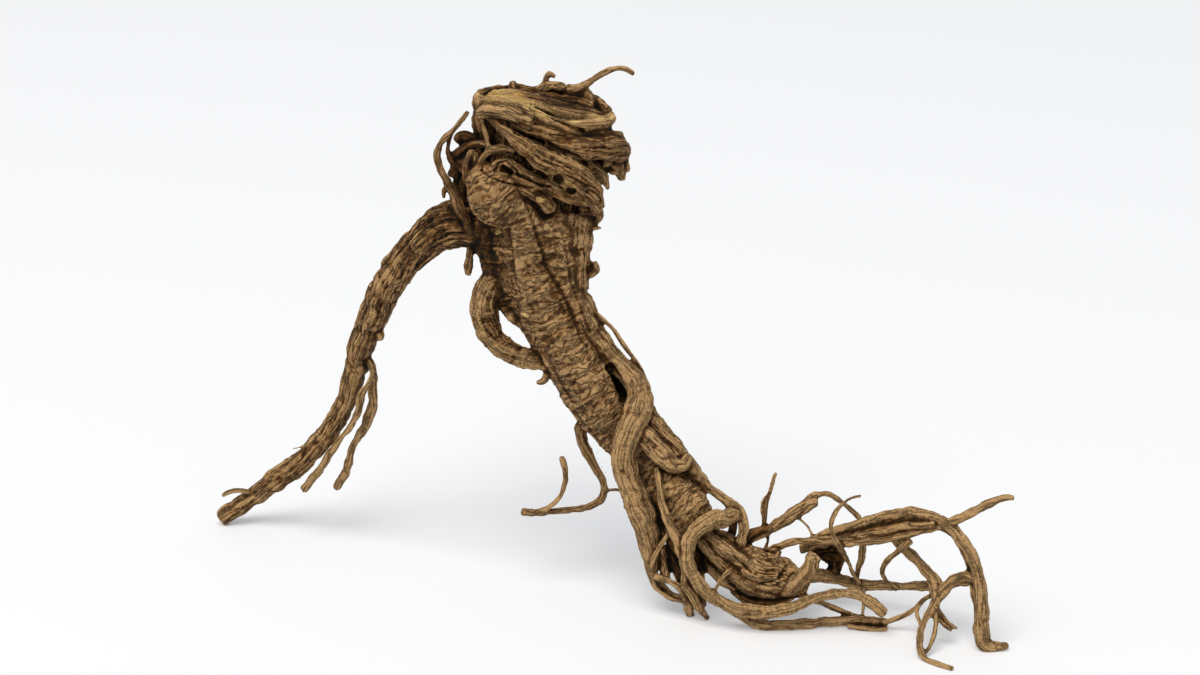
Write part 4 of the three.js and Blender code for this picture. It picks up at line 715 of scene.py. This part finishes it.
# Creases on the side that faces the viewer: their points, [across, up] on the card, how far each reaches
# to either side and how deep it is, in mm.
creases = {
    "columnEdge": {"reach": 1.1, "deep": 0.45, "points": [[-24, 44], [-21, 36], [-18.5, 28], [-17, 22],
        [-13, 16], [-9, 8], [-6, 0], [-4, -3]]},
    "flankEdge": {"reach": 0.9, "deep": 0.3, "points": [[-12, 33], [-10.6, 26], [-9.4, 18], [-6, 9],
        [-3.4, 2]]},
    "heelwardEdge": {"reach": 1.0, "deep": 0.5, "points": [[-15, -10], [-10, -20], [-7, -26], [0, -34]]},
    "leftEdge": {"reach": 1.4, "deep": 0.8, "points": [[-29.5, 34], [-28.6, 26], [-27.4, 18], [-25, 11]]},
    "rimCrack": {"reach": 0.9, "deep": 1.3, "points": [[-21.9, 73.3], [-17.1, 71.7], [-13.9, 69.6],
        [-8.5, 66.9], [-5.3, 66.1]]},
    "layerCrack": {"reach": 0.9, "deep": 1.1, "points": [[-19.2, 63.2], [-12.8, 60], [-7.5, 57.9],
        [-4.3, 55.7]]},
    "strapCrack": {"reach": 0.8, "deep": 1.0, "points": [[-27.2, 65.9], [-21.9, 64.3], [-18.1, 62.1]]},
    "shoulderArc": {"reach": 0.6, "deep": 0.5, "points": [[-37.9, 53.6], [-35.2, 51.5], [-30.9, 49.9],
        [-26.7, 48.8], [-21.9, 47.7]]},
    "shoulderFoot": {"reach": 1.0, "deep": 0.25, "points": [[-41.6, 40.8], [-37.9, 37.6], [-34.1, 36],
        [-28.8, 36], [-24, 37.6]]},
    "earArc": {"reach": 0.7, "deep": 0.8, "points": [[-33.6, 53.6], [-32.5, 55.7], [-29.9, 56.8]]},
    "chestArc": {"reach": 0.7, "deep": 0.9, "points": [[-29.3, 55.7], [-26.1, 52], [-22.4, 50.4],
        [-19.2, 48.8], [-16, 48.3]]},
    "chestCut": {"reach": 0.7, "deep": 0.9, "points": [[-23.5, 44.5], [-19.7, 41.3]]},
    "slot": {"reach": 1.6, "deep": 3.6, "points": [[3.2, -9.6], [5, -12.6], [6.4, -15.4], [7.2, -19.4]]},
    "heelSwirl": {"reach": 0.8, "deep": 0.9, "points": [[47.4, -66.4], [52, -65.4], [57.4, -67.6],
        [60, -72.4], [57.4, -77.2], [51, -79.4]]},
    "heelFold": {"reach": 0.8, "deep": 0.9, "points": [[43, -70], [48.6, -75.6], [55, -78.4]]},
}
creaseTurn = 3  # how soon a crease is at its full depth as the skin turns to the viewer


# The depth pressed into each point by the creases, in mm.
def creased(skin):
    sin, cos = math.sin(sighting["tilt"]), math.cos(sighting["tilt"])
    towards = np.array([0, -cos, sin])
    offset = skin.places - sighting["cardCentre"]
    nearness = sighting["distance"] / (sighting["distance"] - offset @ towards)
    onCard = np.column_stack([offset[:, 0], offset @ np.array([0, sin, cos])]) * nearness[:, None]
    facing = np.clip((skin.normals() @ towards) * creaseTurn, 0, 1)
    depth = np.zeros(len(skin.places))
    for crease in creases.values():
        points = np.array(crease["points"], dtype=float)
        for start, finish in zip(points[:-1], points[1:]):
            leg = finish - start
            t = np.clip(((onCard - start) @ leg) / (leg @ leg), 0, 1)
            gap = np.linalg.norm(onCard - start - t[:, None] * leg, axis=1) / crease["reach"]
            depth = np.maximum(depth, crease["deep"] * np.clip(1 - gap, 0, 1) * facing)
    return depth


# How the bark lies on each kind of line: wrinkled across or furrowed along (ringed 1 or 0), how strong its
# relief is, how far its furrows wind with each mm, how light it is (tone, from 0 to 1), and for how many
# rounds its creases are filled (melt). Then what differs on single lines.
bark = {
    "crown": {"ringed": 0.3, "relief": 1.0, "wind": 0.0, "tone": 0.42, "melt": 10},
    "trunk": {"ringed": 0.9, "relief": 0.62, "wind": 0.01, "tone": 0.6, "melt": 24},
    "bands": {"ringed": 0.15, "relief": 1.2, "wind": 0.03, "tone": 0.44, "melt": 8},
    "limbs": {"ringed": 0.2, "relief": 1.4, "wind": 0.05, "tone": 0.76, "melt": 2},
    "rootlets": {"ringed": 0.1, "relief": 1.3, "wind": 0.08, "tone": 0.62, "melt": 0},
    "twigs": {"ringed": 0.0, "relief": 0.8, "wind": 0.08, "tone": 0.6, "melt": 0},
}
lineBark = {
    "leg": {"ringed": 0.0, "relief": 0.75, "wind": 0.02, "melt": 2, "tone": 0.5},
    "heel": {"ringed": 0.1, "relief": 1.1, "melt": 6, "tone": 0.76},
    "loopRoot": {"ringed": 0.4},
    # The left lobe's low tone is painted shade under the shoulder.
    "leftLobe": {"tone": 0.25},
    "rightColumn": {"ringed": 0.3, "relief": 0.8, "melt": 6, "tone": 0.72},
    "frontStrap": {"ringed": 0.35, "relief": 1.5},
    "shoulder": {"melt": 40, "tone": 0.5},
    "shoulderFold": {"melt": 40},
    "shoulderJoin": {"melt": 40},
    "outerLoop": {"tone": 0.4},
    "innerLoop": {"tone": 0.3},
    "crossTwist": {"tone": 0.4},
    "gillA": {"tone": 0.4},
    "gillB": {"tone": 0.42},
    "spur": {"tone": 0.3},
    "hangingNub": {"tone": 0.35},
    # Painted shade: these lines are set very dark where shade falls among the head's rootlets and in the
    # heel.
    "darkKnot": {"tone": 0.1},
    "darkWeb": {"tone": 0.05},
    "darkWebLow": {"tone": 0.05},
    "innerDark": {"tone": 0.1},
    "darkWedge": {"tone": 0.25},
    "darkUnderside": {"tone": 0.2},
    "darkLump": {"tone": 0.25},
    "darkJoint": {"tone": 0.25},
    # Painted shade in the heel's hollows and behind it.
    "heelShadeA": {"tone": 0.1},
    "heelShadeB": {"tone": 0.1},
    "shadeBehind": {"tone": 0.2},
    "uprightTwig": {"tone": 0.35},
    "backBranch": {"tone": 0.5},
    "slabSwell": {"tone": 0.7, "melt": 10, "relief": 1.0},
    "rearBandA": {"melt": 16},
    "rearBandB": {"melt": 16},
    "rearStrap": {"melt": 12},
    "rearFold": {"melt": 16},
    "slabRimFront": {"tone": 0.66, "melt": 16, "relief": 1.0},
    "slabFront": {"tone": 0.62, "melt": 16},
    "slabMiddle": {"melt": 22},
    "slabRear": {"melt": 22},
    "crownLeft": {"melt": 22},
}


def perPoint(names, line, key):
    values = [lineBark.get(name, {}).get(key, bark[kindName][key]) for kindName, name in names]
    return np.array(values, dtype=float)[line]


# The creases between lines that grew as one are filled, by more rounds of averaging where melt is higher.
def melted(skin, rounds):
    blend = 8  # rounds of averaging between one line's melt and the next
    places = np.array(skin.places)
    rounds = skin.averaged(rounds, blend)
    for turn in range(int(rounds.max())):
        share = np.clip(rounds - turn, 0, 1)[:, None]
        places += (skin.averaged(places, 1) - places) * share
    return places


# The top of the crown was cut off nearly flat. Of what stands above a sloping plane on its lines, only a
# share is kept. The plane's height is in mm over the frame's origin, its slope is across and back.
cutTop = {
    "height": 155.4,
    "slope": (-0.147, -0.025),
    "kept": 0.25,
    "lines": {
        "crownCore", "crownLeft", "slabFront", "slabMiddle", "slabRear", "slabRimFront", "slabRimBack",
        "slabSwell", "slabRidge", "slabEdge",
    },
}


def cutFlat(places, names, line):
    isCut = np.array([name in cutTop["lines"] for _, name in names])[line]
    plane = cutTop["height"] + places[:, :2] @ np.array(cutTop["slope"])
    above = np.where(isCut, np.clip(places[:, 2] - plane, 0, None), 0)
    lowered = np.array(places)
    lowered[:, 2] -= above * (1 - cutTop["kept"])
    return lowered


# The bark's relief. Widths and lengths are those of its lumps across and along a root, in mm. It is as
# deep as least + perRadius x radius, up to most, in mm.
relief = {
    "foldWidth": 3.4,
    "foldLength": 17.0,
    "furrowWidth": 1.5,
    "furrowLength": 15.0,
    "wrinkleLength": 8.0,
    "wrinkleStep": 0.75,
    "coarser": (1.5, 2.4),  # how much wider and longer the coarse wrinkles are
    "swayWidth": 4,
    "swayLength": 7,
    "sway": 1.5,  # mm that all of these wander along the root
    "swayOnRings": 0.8,  # mm less where it is ringed
    "crackWidth": 0.26,  # as a share of the noise
    "foldCrack": 0.5,  # as shares of that width
    "coarseCrack": 0.6,
    "lumpWidth": 5.0,
    "crumbWidth": 1.5,
    "least": 0.14,
    "perRadius": 0.085,
    "most": 0.75,
    # What it is made of on furrowed bark, on ringed bark and on both, as shares of its depth.
    "furrowed": {"fold": 0.9, "furrowCrack": -0.7, "foldCrack": -0.5, "furrow": 0.3},
    "ringed": {"wrinkle": 0.45, "coarseCrack": -0.5, "coarse": 0.15, "fold": 0.35},
    "lump": 0.55,
    "crumb": 0.35,
    "apart": (3.7, 5.1, 2.9),  # steps through the noise from line to line
    "seed": 7,
    "blendRounds": 6,  # of averaging, where ringed bark meets furrowed bark
    "borderRounds": 3,  # and beside the border between two grains, where the relief is calmer
    "borderShare": 2,
    "calmRounds": 5,
}


# Narrow grooves where smooth noise crosses zero: 1 in a groove, 0 away from it.
def grooved(values, width):
    return np.clip(1 - np.abs(values) / width, 0, 1)


# Bark relief: folds and furrows along the root, wrinkles across it, and lumps, in mm along the normal.
def wrinkled(skin, names, line, guide, grain, radius):
    share = perPoint(names, line, "relief")
    depth = np.clip(relief["least"] + relief["perRadius"] * radius, 0, relief["most"]) * share
    ringed = skin.averaged(perPoint(names, line, "ringed"), relief["blendRounds"])
    wind = perPoint(names, line, "wind") * grain[:, 2]
    own = guide[:, None] * np.array(relief["apart"])
    a = grain[:, 0] * np.cos(wind) - grain[:, 1] * np.sin(wind)
    b = grain[:, 0] * np.sin(wind) + grain[:, 1] * np.cos(wind)
    s = grain[:, 2]
    seed = relief["seed"]

    def along(width, length, lift, number):
        return noise(np.column_stack([a / width, b / width, (s + lift) / length]) + own, seed + number)

    sway = relief["sway"] - relief["swayOnRings"] * ringed
    sway = sway * along(relief["swayWidth"], relief["swayLength"], 0, 0)
    wider, longer = relief["coarser"]
    fold = along(relief["foldWidth"], relief["foldLength"], 0, 1)
    furrow = along(relief["furrowWidth"], relief["furrowLength"], sway, 2)
    wrinkle = along(relief["wrinkleLength"], relief["wrinkleStep"], sway, 3)
    coarse = along(relief["wrinkleLength"] * wider, relief["wrinkleStep"] * longer, sway, 4)
    crackWidth = relief["crackWidth"]
    forms = {
        "fold": fold,
        "foldCrack": grooved(fold, relief["foldCrack"] * crackWidth),
        "furrow": furrow,
        "furrowCrack": grooved(furrow, crackWidth),
        "wrinkle": wrinkle,
        "coarse": coarse,
        "coarseCrack": grooved(coarse, relief["coarseCrack"] * crackWidth),
    }
    long = sum(share * forms[name] for name, share in relief["furrowed"].items())
    cross = sum(share * forms[name] for name, share in relief["ringed"].items())
    lump = noise(skin.places / relief["lumpWidth"], seed + 5)
    crumb = noise(skin.places / relief["crumbWidth"], seed + 6)
    height = (1 - ringed) * long + ringed * cross + relief["lump"] * lump + relief["crumb"] * crumb
    height = depth * height
    isBorder = skin.averaged(guide.astype(float), 1) != guide
    border = skin.averaged(isBorder.astype(float), relief["borderRounds"])
    border = np.clip(border * relief["borderShare"], 0, 1)
    return height * (1 - border) + skin.averaged(height, relief["calmRounds"]) * border


# How near each place is to any of some sighted spots: 1 well inside a spot, 0 beyond its radius.
def nearSpots(places, spots):
    steepness = 1.3  # how soon a spot is full, from its edge inwards
    spots = np.array(spots, dtype=float)
    centres, scale = sighted(spots)
    share = np.zeros(len(places))
    for centre, size in zip(centres, spots[:, 3] * scale):
        gap = np.linalg.norm(places - centre, axis=1) / size
        share = np.maximum(share, np.clip(steepness * (1 - gap), 0, 1))
    return share * share * (3 - 2 * share)


# Sighted spots, [across, up, back, radius], where the bark is gone and the wood shows.
bareSpots = [
    [-30, 77.6, 17, 9], [-36, 77.5, 20, 8], [-32, 77, 14, 7.5], [-27, 76.5, 12, 7], [-22, 75, 10, 6],
    [-30, 78, 20, 9], [-18, 73, 8, 5], [-33, 33.4, 8, 2.6], [-24, 7.4, 5.5, 2], [-19, 44, 3.6, 2],
    [-15, 41, 3.5, 1.6], [-10, 38.5, 9, 1.5], [-121.5, -58, 54.6, 3.4], [3, 70.5, 17, 4.5],
    [-1.5, 69.6, 12, 4.5], [-8, 69, 8, 3],
]

# Sighted spots where the bark is painted darker, as painted shade in holes and under overhangs.
paintedShadeSpots = [
    [-37, 70, 18, 7], [-35, 64, 15, 5], [-44, 38, 18, 12], [-52, 35, 21, 10], [-60, 27, 26, 8],
    [-46, 36, 15, 8], [-33, 70, 12, 7.5], [-34, 26, 17, 10], [-33, 34, 16, 7], [-24, 62, 8, 6],
    [-43, 58, 18, 8], [-43, 50, 16, 9], [-12, 75, 22, 10], [-20, 76, 27, 8], [5, 56, 15, 6],
    [-34.5, 4, 14, 7], [-28, -4, 12, 6], [-8, 42, 9, 6], [-21, 56, 6, 4.5], [44, -66, -12, 5],
    [28, -70, -14, 9], [22, -50, -5, 7], [72, -70, -9, 7], [4, -12, 10, 8],
]

# Small round hollows in the crown's strap: [across, up, back, radius].
hollows = {"eye": [-13.4, 50.3, 1.4, 2], "socket": [-9.2, 47, 2, 1.8]}


# Points inside a small round hollow are moved out to its wall, deeper into the root.
def pressIn(places, hollow):
    centre, scale = sighted(np.array([hollow], dtype=float))
    size = hollow[3] * scale[0]
    gap = np.linalg.norm(places - centre[0], axis=1)
    inside = gap < size
    inwards = np.array([0.0, 1.0, 0.0])
    moved = np.array(places)
    depth = np.sqrt(np.maximum(size**2 - gap[inside] ** 2, 0))
    moved[inside] += inwards * depth[:, None]
    return moved


# How the skin is finished: rounds and shares of averaging, and how hollows and spots of painted shade darken
# it.
skinFinish = {
    "smoothRounds": 2,
    "smoothShare": 0.5,
    "leastHeight": 0.05,  # mm above the floor
    "nearRounds": 6,  # narrow and wide surroundings that a hollow is measured against
    "wideRounds": 40,
    "levelShade": 0.4,  # how hollow a level place counts, and what each mm of depth adds
    "nearShade": 2.8,
    "wideShade": 0.8,
    "toneRounds": 6,
    "ringedRounds": 4,
    # how much the spots of painted shade darken the tone
    "paintedShadeSpots": 0.3,
}

print("sweeping the roots")
tubePlaces, tubeFaces, ringOf, record, names = sweptRoots()
print("swept", len(tubePlaces), "points on", len(names), "lines")
voxel = tubes["voxel"]
skin = Skin(fused(meshFrom("tubes", tubePlaces * millimetre, tubeFaces), voxel))
print("fused", len(skin.places), "points")
skin.places = skin.averaged(skin.places, skinFinish["smoothRounds"], skinFinish["smoothShare"])
line, guide, grain, radius = alongRoots(skin, tubePlaces, ringOf, record, names)
print("placed along the lines")
skin.places = melted(skin, perPoint(names, line, "melt"))
skin.places = cutFlat(skin.places, names, line)
height = wrinkled(skin, names, line, guide, grain, radius)
height -= creased(skin)
skin.places += skin.normals() * height[:, None]
for hollow in hollows.values():
    skin.places = pressIn(skin.places, hollow)
skin.places[:, 2] = np.maximum(skin.places[:, 2], skinFinish["leastHeight"])
normals = skin.normals()
print("relief made")


# How far each point lies beneath the mean of its surroundings, in mm.
def beneath(rounds):
    return np.einsum("ij,ij->i", skin.averaged(skin.places, rounds) - skin.places, normals)


# The hollow field is painted shade: the deeper a point lies beneath its surroundings, the darker it is
# painted.
nearShade = skinFinish["nearShade"] * beneath(skinFinish["nearRounds"])
wideShade = skinFinish["wideShade"] * beneath(skinFinish["wideRounds"])
tone = skin.averaged(perPoint(names, line, "tone"), skinFinish["toneRounds"])
grainApart = np.array([31.0, 17.0, 53.0])  # mm from the grain of one line to that of the next
shading = {
    "grain": grain + guide[:, None] * grainApart,
    "ringed": skin.averaged(perPoint(names, line, "ringed"), skinFinish["ringedRounds"]),
    # painted shade in creases and recesses
    "hollow": np.clip(skinFinish["levelShade"] + nearShade + wideShade, 0, 1),
    # The tone is darkened in the spots of painted shade.
    "tone": tone - skinFinish["paintedShadeSpots"] * nearSpots(skin.places, paintedShadeSpots),
    "bare": nearSpots(skin.places, bareSpots),
}
print("shading fields made")


def addAttribute(mesh, name, values):
    kind, key = ("FLOAT_VECTOR", "vector") if values.ndim == 2 else ("FLOAT", "value")
    layer = mesh.attributes.new(name, kind, "POINT")
    layer.data.foreach_set(key, values.astype(np.float32).ravel())


# The skin is one surface, kept as several pieces so that none is too heavy. What isn't listed here is crown.
pieceLines = {
    "taproot": {
        "taproot", "middleColumn", "shoulderJoin", "bodyLump", "stubTwig", "hair", "chipA", "leftLobe",
        "rightFlank", "rightColumn", "slotBack", "loopRoot", "backBranch", "hangingNub", "paleChip",
        "darkNub", "curl", "edgeRootlet", "ringStub", "edgeLump", "straightTwig", "backLink", "backFork",
        "jaw",
    },
    "leg": {"leg", "legSpur", "legTuft", "legRootletA", "legRootletB", "legNub", "legTwig"},
    "heel": {
        "heel", "heelTuft", "heelShadeA", "heelShadeB", "shadeBehind", "foldOuter", "foldInner",
        "frontStrap", "finger", "darkLump", "heelRibA", "heelRibB", "heelRibC", "knob", "frontRootlet",
        "secondToe", "darkWedge", "twistA", "twistB", "heelArc", "heelArcInner", "innerLight", "innerDark",
        "crossLink", "darkUnderside", "hiddenToeA", "hiddenToeB", "armlessRope", "darkJoint",
    },
    "rootlets": {
        "topRope", "ropeRib", "middleRope", "farRootlet", "forkRootlet", "lightFork", "floorRope",
        "loopOver", "uprightTwig", "lowRope", "ropeKnot", "curlDown", "overTwig", "strut", "hangingLeft",
        "hangingRight", "reachLeft", "floorSplit", "slopingRootlet", "twigLoop", "thinBrace",
        "shortStrut", "hangingFork", "backLace",
    },
}


def pieceOf(name):
    return next((piece for piece, members in pieceLines.items() if name in members), "crown")


# A six-digit sRGB colour as linear red, green, blue and opacity.
def linear(colour):
    channels = [int(colour[i : i + 2], 16) / 255 for i in (0, 2, 4)]
    return [c / 12.92 if c <= 0.04045 else ((c + 0.055) / 1.055) ** 2.4 for c in channels] + [1.0]


# A node with its settings, each input linked to a socket or set to a value, and one of its outputs.
def addNode(tree, kind, output, settings=None, inputs=None):
    node = tree.nodes.new("ShaderNode" + kind)
    for name, value in (settings or {}).items():
        setattr(node, name, value)
    for name, value in (inputs or {}).items():
        if isinstance(value, bpy.types.NodeSocket):
            tree.links.new(value, node.inputs[name])
        else:
            node.inputs[name].default_value = value
    return node.outputs[output] if output is not None else None


# Dried ginseng root: dug, washed and dried whole, so that its bark has shrunk into furrows along the side
# roots and wrinkles across the taproot. Cracks and hollows are painted dark as painted shade, raised ridges
# are painted paler, and straw yellow wood shows where the bark is broken. The finest wrinkles of such bark
# are too fine for the render: "wrinkle" is drawn as coarse as it needs to show.
barkLook = {
    "crevice": "150b01",
    "shade": "452c0b",
    "body": "755029",
    "ridge": "bc9767",
    "wood": "e4c484",
    "woodShade": "b98f50",
    "crackShare": 0.8,  # how far a crack goes to the crevice colour
    "crackWidth": 0.06,  # as a share of the noise
    "relief": 1.2,  # mm
    "roughness": 0.8,
    "ior": 1.45,
    "specular": 0.2,
    "swing": (1.4, 1.4, 3.0),  # mm that the grain wanders across, through and along a root
    # Noise on the grain or on the place: the size of its lumps in mm across, through and along, its
    # octaves of detail and how rough they are.
    "patterns": {
        "sway": {"on": "grain", "size": (4.0, 4.0, 5.0), "detail": 2.0, "roughness": 0.55},
        "furrow": {"on": "swayed", "size": (1.5, 1.5, 20.0), "detail": 2.0, "roughness": 0.5},
        "wrinkle": {"on": "swayed", "size": (9.0, 9.0, 1.1), "detail": 2.0, "roughness": 0.5},
        "crumb": {"on": "place", "size": (1.5, 1.5, 1.5), "detail": 5.0, "roughness": 0.65},
        "patch": {"on": "place", "size": (10.0, 10.0, 10.0), "detail": 4.0, "roughness": 0.6},
        "speck": {"on": "place", "size": (2.2, 2.2, 2.2), "detail": 3.0, "roughness": 0.6},
    },
    # What stands out of the bark, as shares of the relief.
    "heights": {"crack": -0.6, "streak": 0.9, "crumb": 1.1},
    # What makes the bark lighter: from and to which value, and by how much. Hollow darkens it, as painted
    # shade in creases.
    "lights": {
        "streak": (0.3, 0.7, 0.2),
        "crumb": (0.3, 0.7, 0.3),
        "patch": (0.3, 0.7, 0.2),
        "speck": (0.3, 0.7, 0.18),
        "tone": (0.0, 1.0, 1.0),
        "hollow": (0.0, 1.0, -0.9),
    },
    # Between which lightnesses each colour takes over from the one before.
    "steps": {"shade": (-0.1, 0.28), "body": (0.22, 0.62), "ridge": (0.58, 1.1)},
    "woodLight": (0.35, 0.7),
    # the hollow values between which bare wood takes the colour of painted shade
    "woodHollow": (0.7, 1.2),
    "ragged": 0.9,  # how much specks break up the border of the bare wood
    "bareFrom": (0.6, 1.3),
}


# Sockets that share a name with others of their node are picked by number. On a mix 0 is the share, 2 and
# 3 are its two numbers or 6 and 7 its two colours, and a mixed colour comes out at 2.
def driedRootSkin(look):
    material = bpy.data.materials.new("driedGinsengBark")
    material.use_nodes = True
    tree = material.node_tree
    tree.nodes.clear()
    colourMix, multiplyAdd = {"data_type": "RGBA"}, {"operation": "MULTIPLY_ADD"}
    middle = 0.5  # the middle value of the noise

    fields = {"grain": addNode(tree, "Attribute", "Vector", {"attribute_name": "grain"})}
    for name in ("ringed", "hollow", "tone", "bare"):
        fields[name] = addNode(tree, "Attribute", "Fac", {"attribute_name": name})
    inMetres = addNode(tree, "TexCoord", "Object")
    fields["place"] = addNode(tree, "VectorMath", "Vector", {"operation": "SCALE"},
                              {"Vector": inMetres, "Scale": 1 / millimetre})
    for name, pattern in look["patterns"].items():
        scale = [1 / size for size in pattern["size"]]
        scaled = addNode(tree, "Mapping", "Vector", None, {"Vector": fields[pattern["on"]], "Scale": scale})
        fields[name] = addNode(
            tree, "TexNoise", "Fac", None,
            {"Vector": scaled, "Scale": 1.0, "Detail": pattern["detail"], "Roughness": pattern["roughness"]},
        )
        if name == "sway":
            fields["swayed"] = addNode(tree, "VectorMath", "Vector", multiplyAdd,
                                       {0: fields["sway"], 1: look["swing"], 2: fields["grain"]})

    # A crack runs wherever the furrows or wrinkles pass through their middle value.
    for name in ("furrow", "wrinkle"):
        fromMiddle = addNode(tree, "Math", 0, {"operation": "SUBTRACT"}, {0: fields[name], 1: middle})
        gap = addNode(tree, "Math", 0, {"operation": "ABSOLUTE"}, {0: fromMiddle})
        fields[name + "Crack"] = addNode(tree, "MapRange", 0, None,
                                         {"Value": gap, "From Min": look["crackWidth"], "From Max": 0.0})
    for name, along, across in (("streak", "furrow", "wrinkle"), ("crack", "furrowCrack", "wrinkleCrack")):
        fields[name] = addNode(tree, "Mix", 0, {"data_type": "FLOAT"},
                               {0: fields["ringed"], 2: fields[along], 3: fields[across]})

    height = 0.0
    for name, share in look["heights"].items():
        height = addNode(tree, "Math", 0, multiplyAdd, {0: fields[name], 1: share, 2: height})
    lightness = 0.0
    for name, (low, high, share) in look["lights"].items():
        value = fields[name]
        spread = addNode(tree, "MapRange", 0, None, {"Value": value, "From Min": low, "From Max": high})
        lightness = addNode(tree, "Math", 0, multiplyAdd, {0: spread, 1: share, 2: lightness})

    colour = linear(look["crevice"])
    for name, (low, high) in look["steps"].items():
        share = addNode(tree, "MapRange", 0, None, {"Value": lightness, "From Min": low, "From Max": high})
        colour = addNode(tree, "Mix", 2, colourMix, {0: share, 6: colour, 7: linear(look[name])})
    # Cracks are painted towards the crevice colour, as painted shade in them.
    dark = addNode(tree, "Math", 0, {"operation": "MULTIPLY"}, {0: fields["crack"], 1: look["crackShare"]})
    colour = addNode(tree, "Mix", 2, colourMix, {0: dark, 6: colour, 7: linear(look["crevice"])})

    # Bare wood is paler along its furrows, and is painted towards the shade colour in hollows as painted
    # shade.
    wood = linear(look["woodShade"])
    for name, key, tint in (("furrow", "woodLight", "wood"), ("hollow", "woodHollow", "shade")):
        low, high = look[key]
        share = addNode(tree, "MapRange", 0, None, {"Value": fields[name], "From Min": low, "From Max": high})
        wood = addNode(tree, "Mix", 2, colourMix, {0: share, 6: wood, 7: linear(look[tint])})
    low, high = look["bareFrom"]
    border = addNode(tree, "Math", 0, multiplyAdd, {0: fields["speck"], 1: look["ragged"], 2: fields["bare"]})
    share = addNode(tree, "MapRange", 0, None, {"Value": border, "From Min": low, "From Max": high})
    colour = addNode(tree, "Mix", 2, colourMix, {0: share, 6: colour, 7: wood})

    deepest = look["relief"] * millimetre
    normal = addNode(tree, "Bump", "Normal", None, {"Height": height, "Distance": deepest})
    surface = addNode(
        tree, "BsdfPrincipled", "BSDF", None,
        {"Base Color": colour, "Roughness": look["roughness"], "IOR": look["ior"],
         "Specular IOR Level": look["specular"], "Normal": normal},
    )
    addNode(tree, "OutputMaterial", None, None, {"Surface": surface})
    return material


def splitSkin(material):
    corners = np.empty(len(skin.mesh.loops), dtype=np.int32)
    skin.mesh.loops.foreach_get("vertex_index", corners)
    quads = corners.reshape(-1, 4)
    groupNames = ["crown", *pieceLines]
    groupOf = np.array([groupNames.index(pieceOf(name)) for _, name in names])
    owner = groupOf[line][quads[:, 0]]
    for index, group in enumerate(groupNames):
        kept = quads[owner == index]
        used, renumbered = np.unique(kept, return_inverse=True)
        piece = meshFrom(group, skin.places[used] * millimetre, renumbered.reshape(-1, 4).tolist())
        piece.shade_smooth()
        piece.normals_split_custom_set_from_vertices(normals[used].tolist())
        for name, values in shading.items():
            addAttribute(piece, name, values[used])
        piece.materials.append(material)
        thing = bpy.data.objects.new(group, piece)
        bpy.context.collection.objects.link(thing)
        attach(thing, "root")
        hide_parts("ginseng_root")
        print("piece", group, 2 * len(kept), "triangles")


splitSkin(driedRootSkin(barkLook))

# Matt painted board, a little brighter than the room would make it. Its size is in metres.
floorLook = {"colour": "d2d4d6", "roughness": 0.6, "size": 8.0, "glow": 0.32}


def makeFloor(look):
    mesh = bpy.data.meshes.new("floor")
    half = look["size"] / 2
    corners = [(-half, -half, 0), (half, -half, 0), (half, half, 0), (-half, half, 0)]
    mesh.from_pydata(corners, [], [(0, 1, 2, 3)])
    material = bpy.data.materials.new("mattWhiteBoard")
    material.use_nodes = True
    surface = material.node_tree.nodes["Principled BSDF"]
    surface.inputs["Base Color"].default_value = linear(look["colour"])
    surface.inputs["Roughness"].default_value = look["roughness"]
    surface.inputs["Emission Color"].default_value = linear(look["colour"])
    surface.inputs["Emission Strength"].default_value = look["glow"]
    mesh.materials.append(material)
    floor = bpy.data.objects.new("floor", mesh)
    bpy.context.collection.objects.link(floor)


# Pale walls all round, and one wide lamp overhead that is aimed at the middle of the root. Places are in
# metres, the lamp's power is in watts.
lamps = {
    "sky": {"colour": "f6f8fc", "strength": 0.52},
    "overhead": {
        "colour": "fffaf4", "power": 178.0, "size": 3.0, "place": (-0.9, -1.5, 4.0), "aim": (0, 0, 0.07),
    },
}


def makeLamps(settings):
    world = bpy.data.worlds.new("paleRoom")
    world.use_nodes = True
    sky = world.node_tree.nodes["Background"]
    sky.inputs["Color"].default_value = linear(settings["sky"]["colour"])
    sky.inputs["Strength"].default_value = settings["sky"]["strength"]
    bpy.context.scene.world = world
    overhead = settings["overhead"]
    light = bpy.data.lights.new("softbox", "AREA")
    light.energy = overhead["power"]
    light.size = overhead["size"]
    light.color = linear(overhead["colour"])[:3]
    lamp = bpy.data.objects.new("softbox", light)
    lamp.location = overhead["place"]
    lamp.rotation_euler = (Vector(overhead["aim"]) - lamp.location).to_track_quat("-Z", "Y").to_euler()
    bpy.context.collection.objects.link(lamp)


# The eye that the lines are sighted from. Sensor and lens are in mm, the clip distances in metres.
eye = {"sensor": 36.0, "lens": 84.375, "clip": (0.05, 20.0)}


def makeCamera(settings):
    data = bpy.data.cameras.new("eye")
    data.sensor_width = settings["sensor"]
    data.lens = settings["lens"]
    data.clip_start, data.clip_end = settings["clip"]
    camera = bpy.data.objects.new("eye", data)
    centre = Vector(sighting["cardCentre"]) * millimetre
    towards = Vector((0, -math.cos(sighting["tilt"]), math.sin(sighting["tilt"])))
    camera.location = centre + towards * sighting["distance"] * millimetre
    camera.rotation_euler = (centre - camera.location).to_track_quat("-Z", "Y").to_euler()
    bpy.context.collection.objects.link(camera)
    bpy.context.scene.camera = camera


makeFloor(floorLook)
makeLamps(lamps)
makeCamera(eye)
bpy.context.scene.view_settings.view_transform = "Standard"
print("floor, lamps and eye placed")
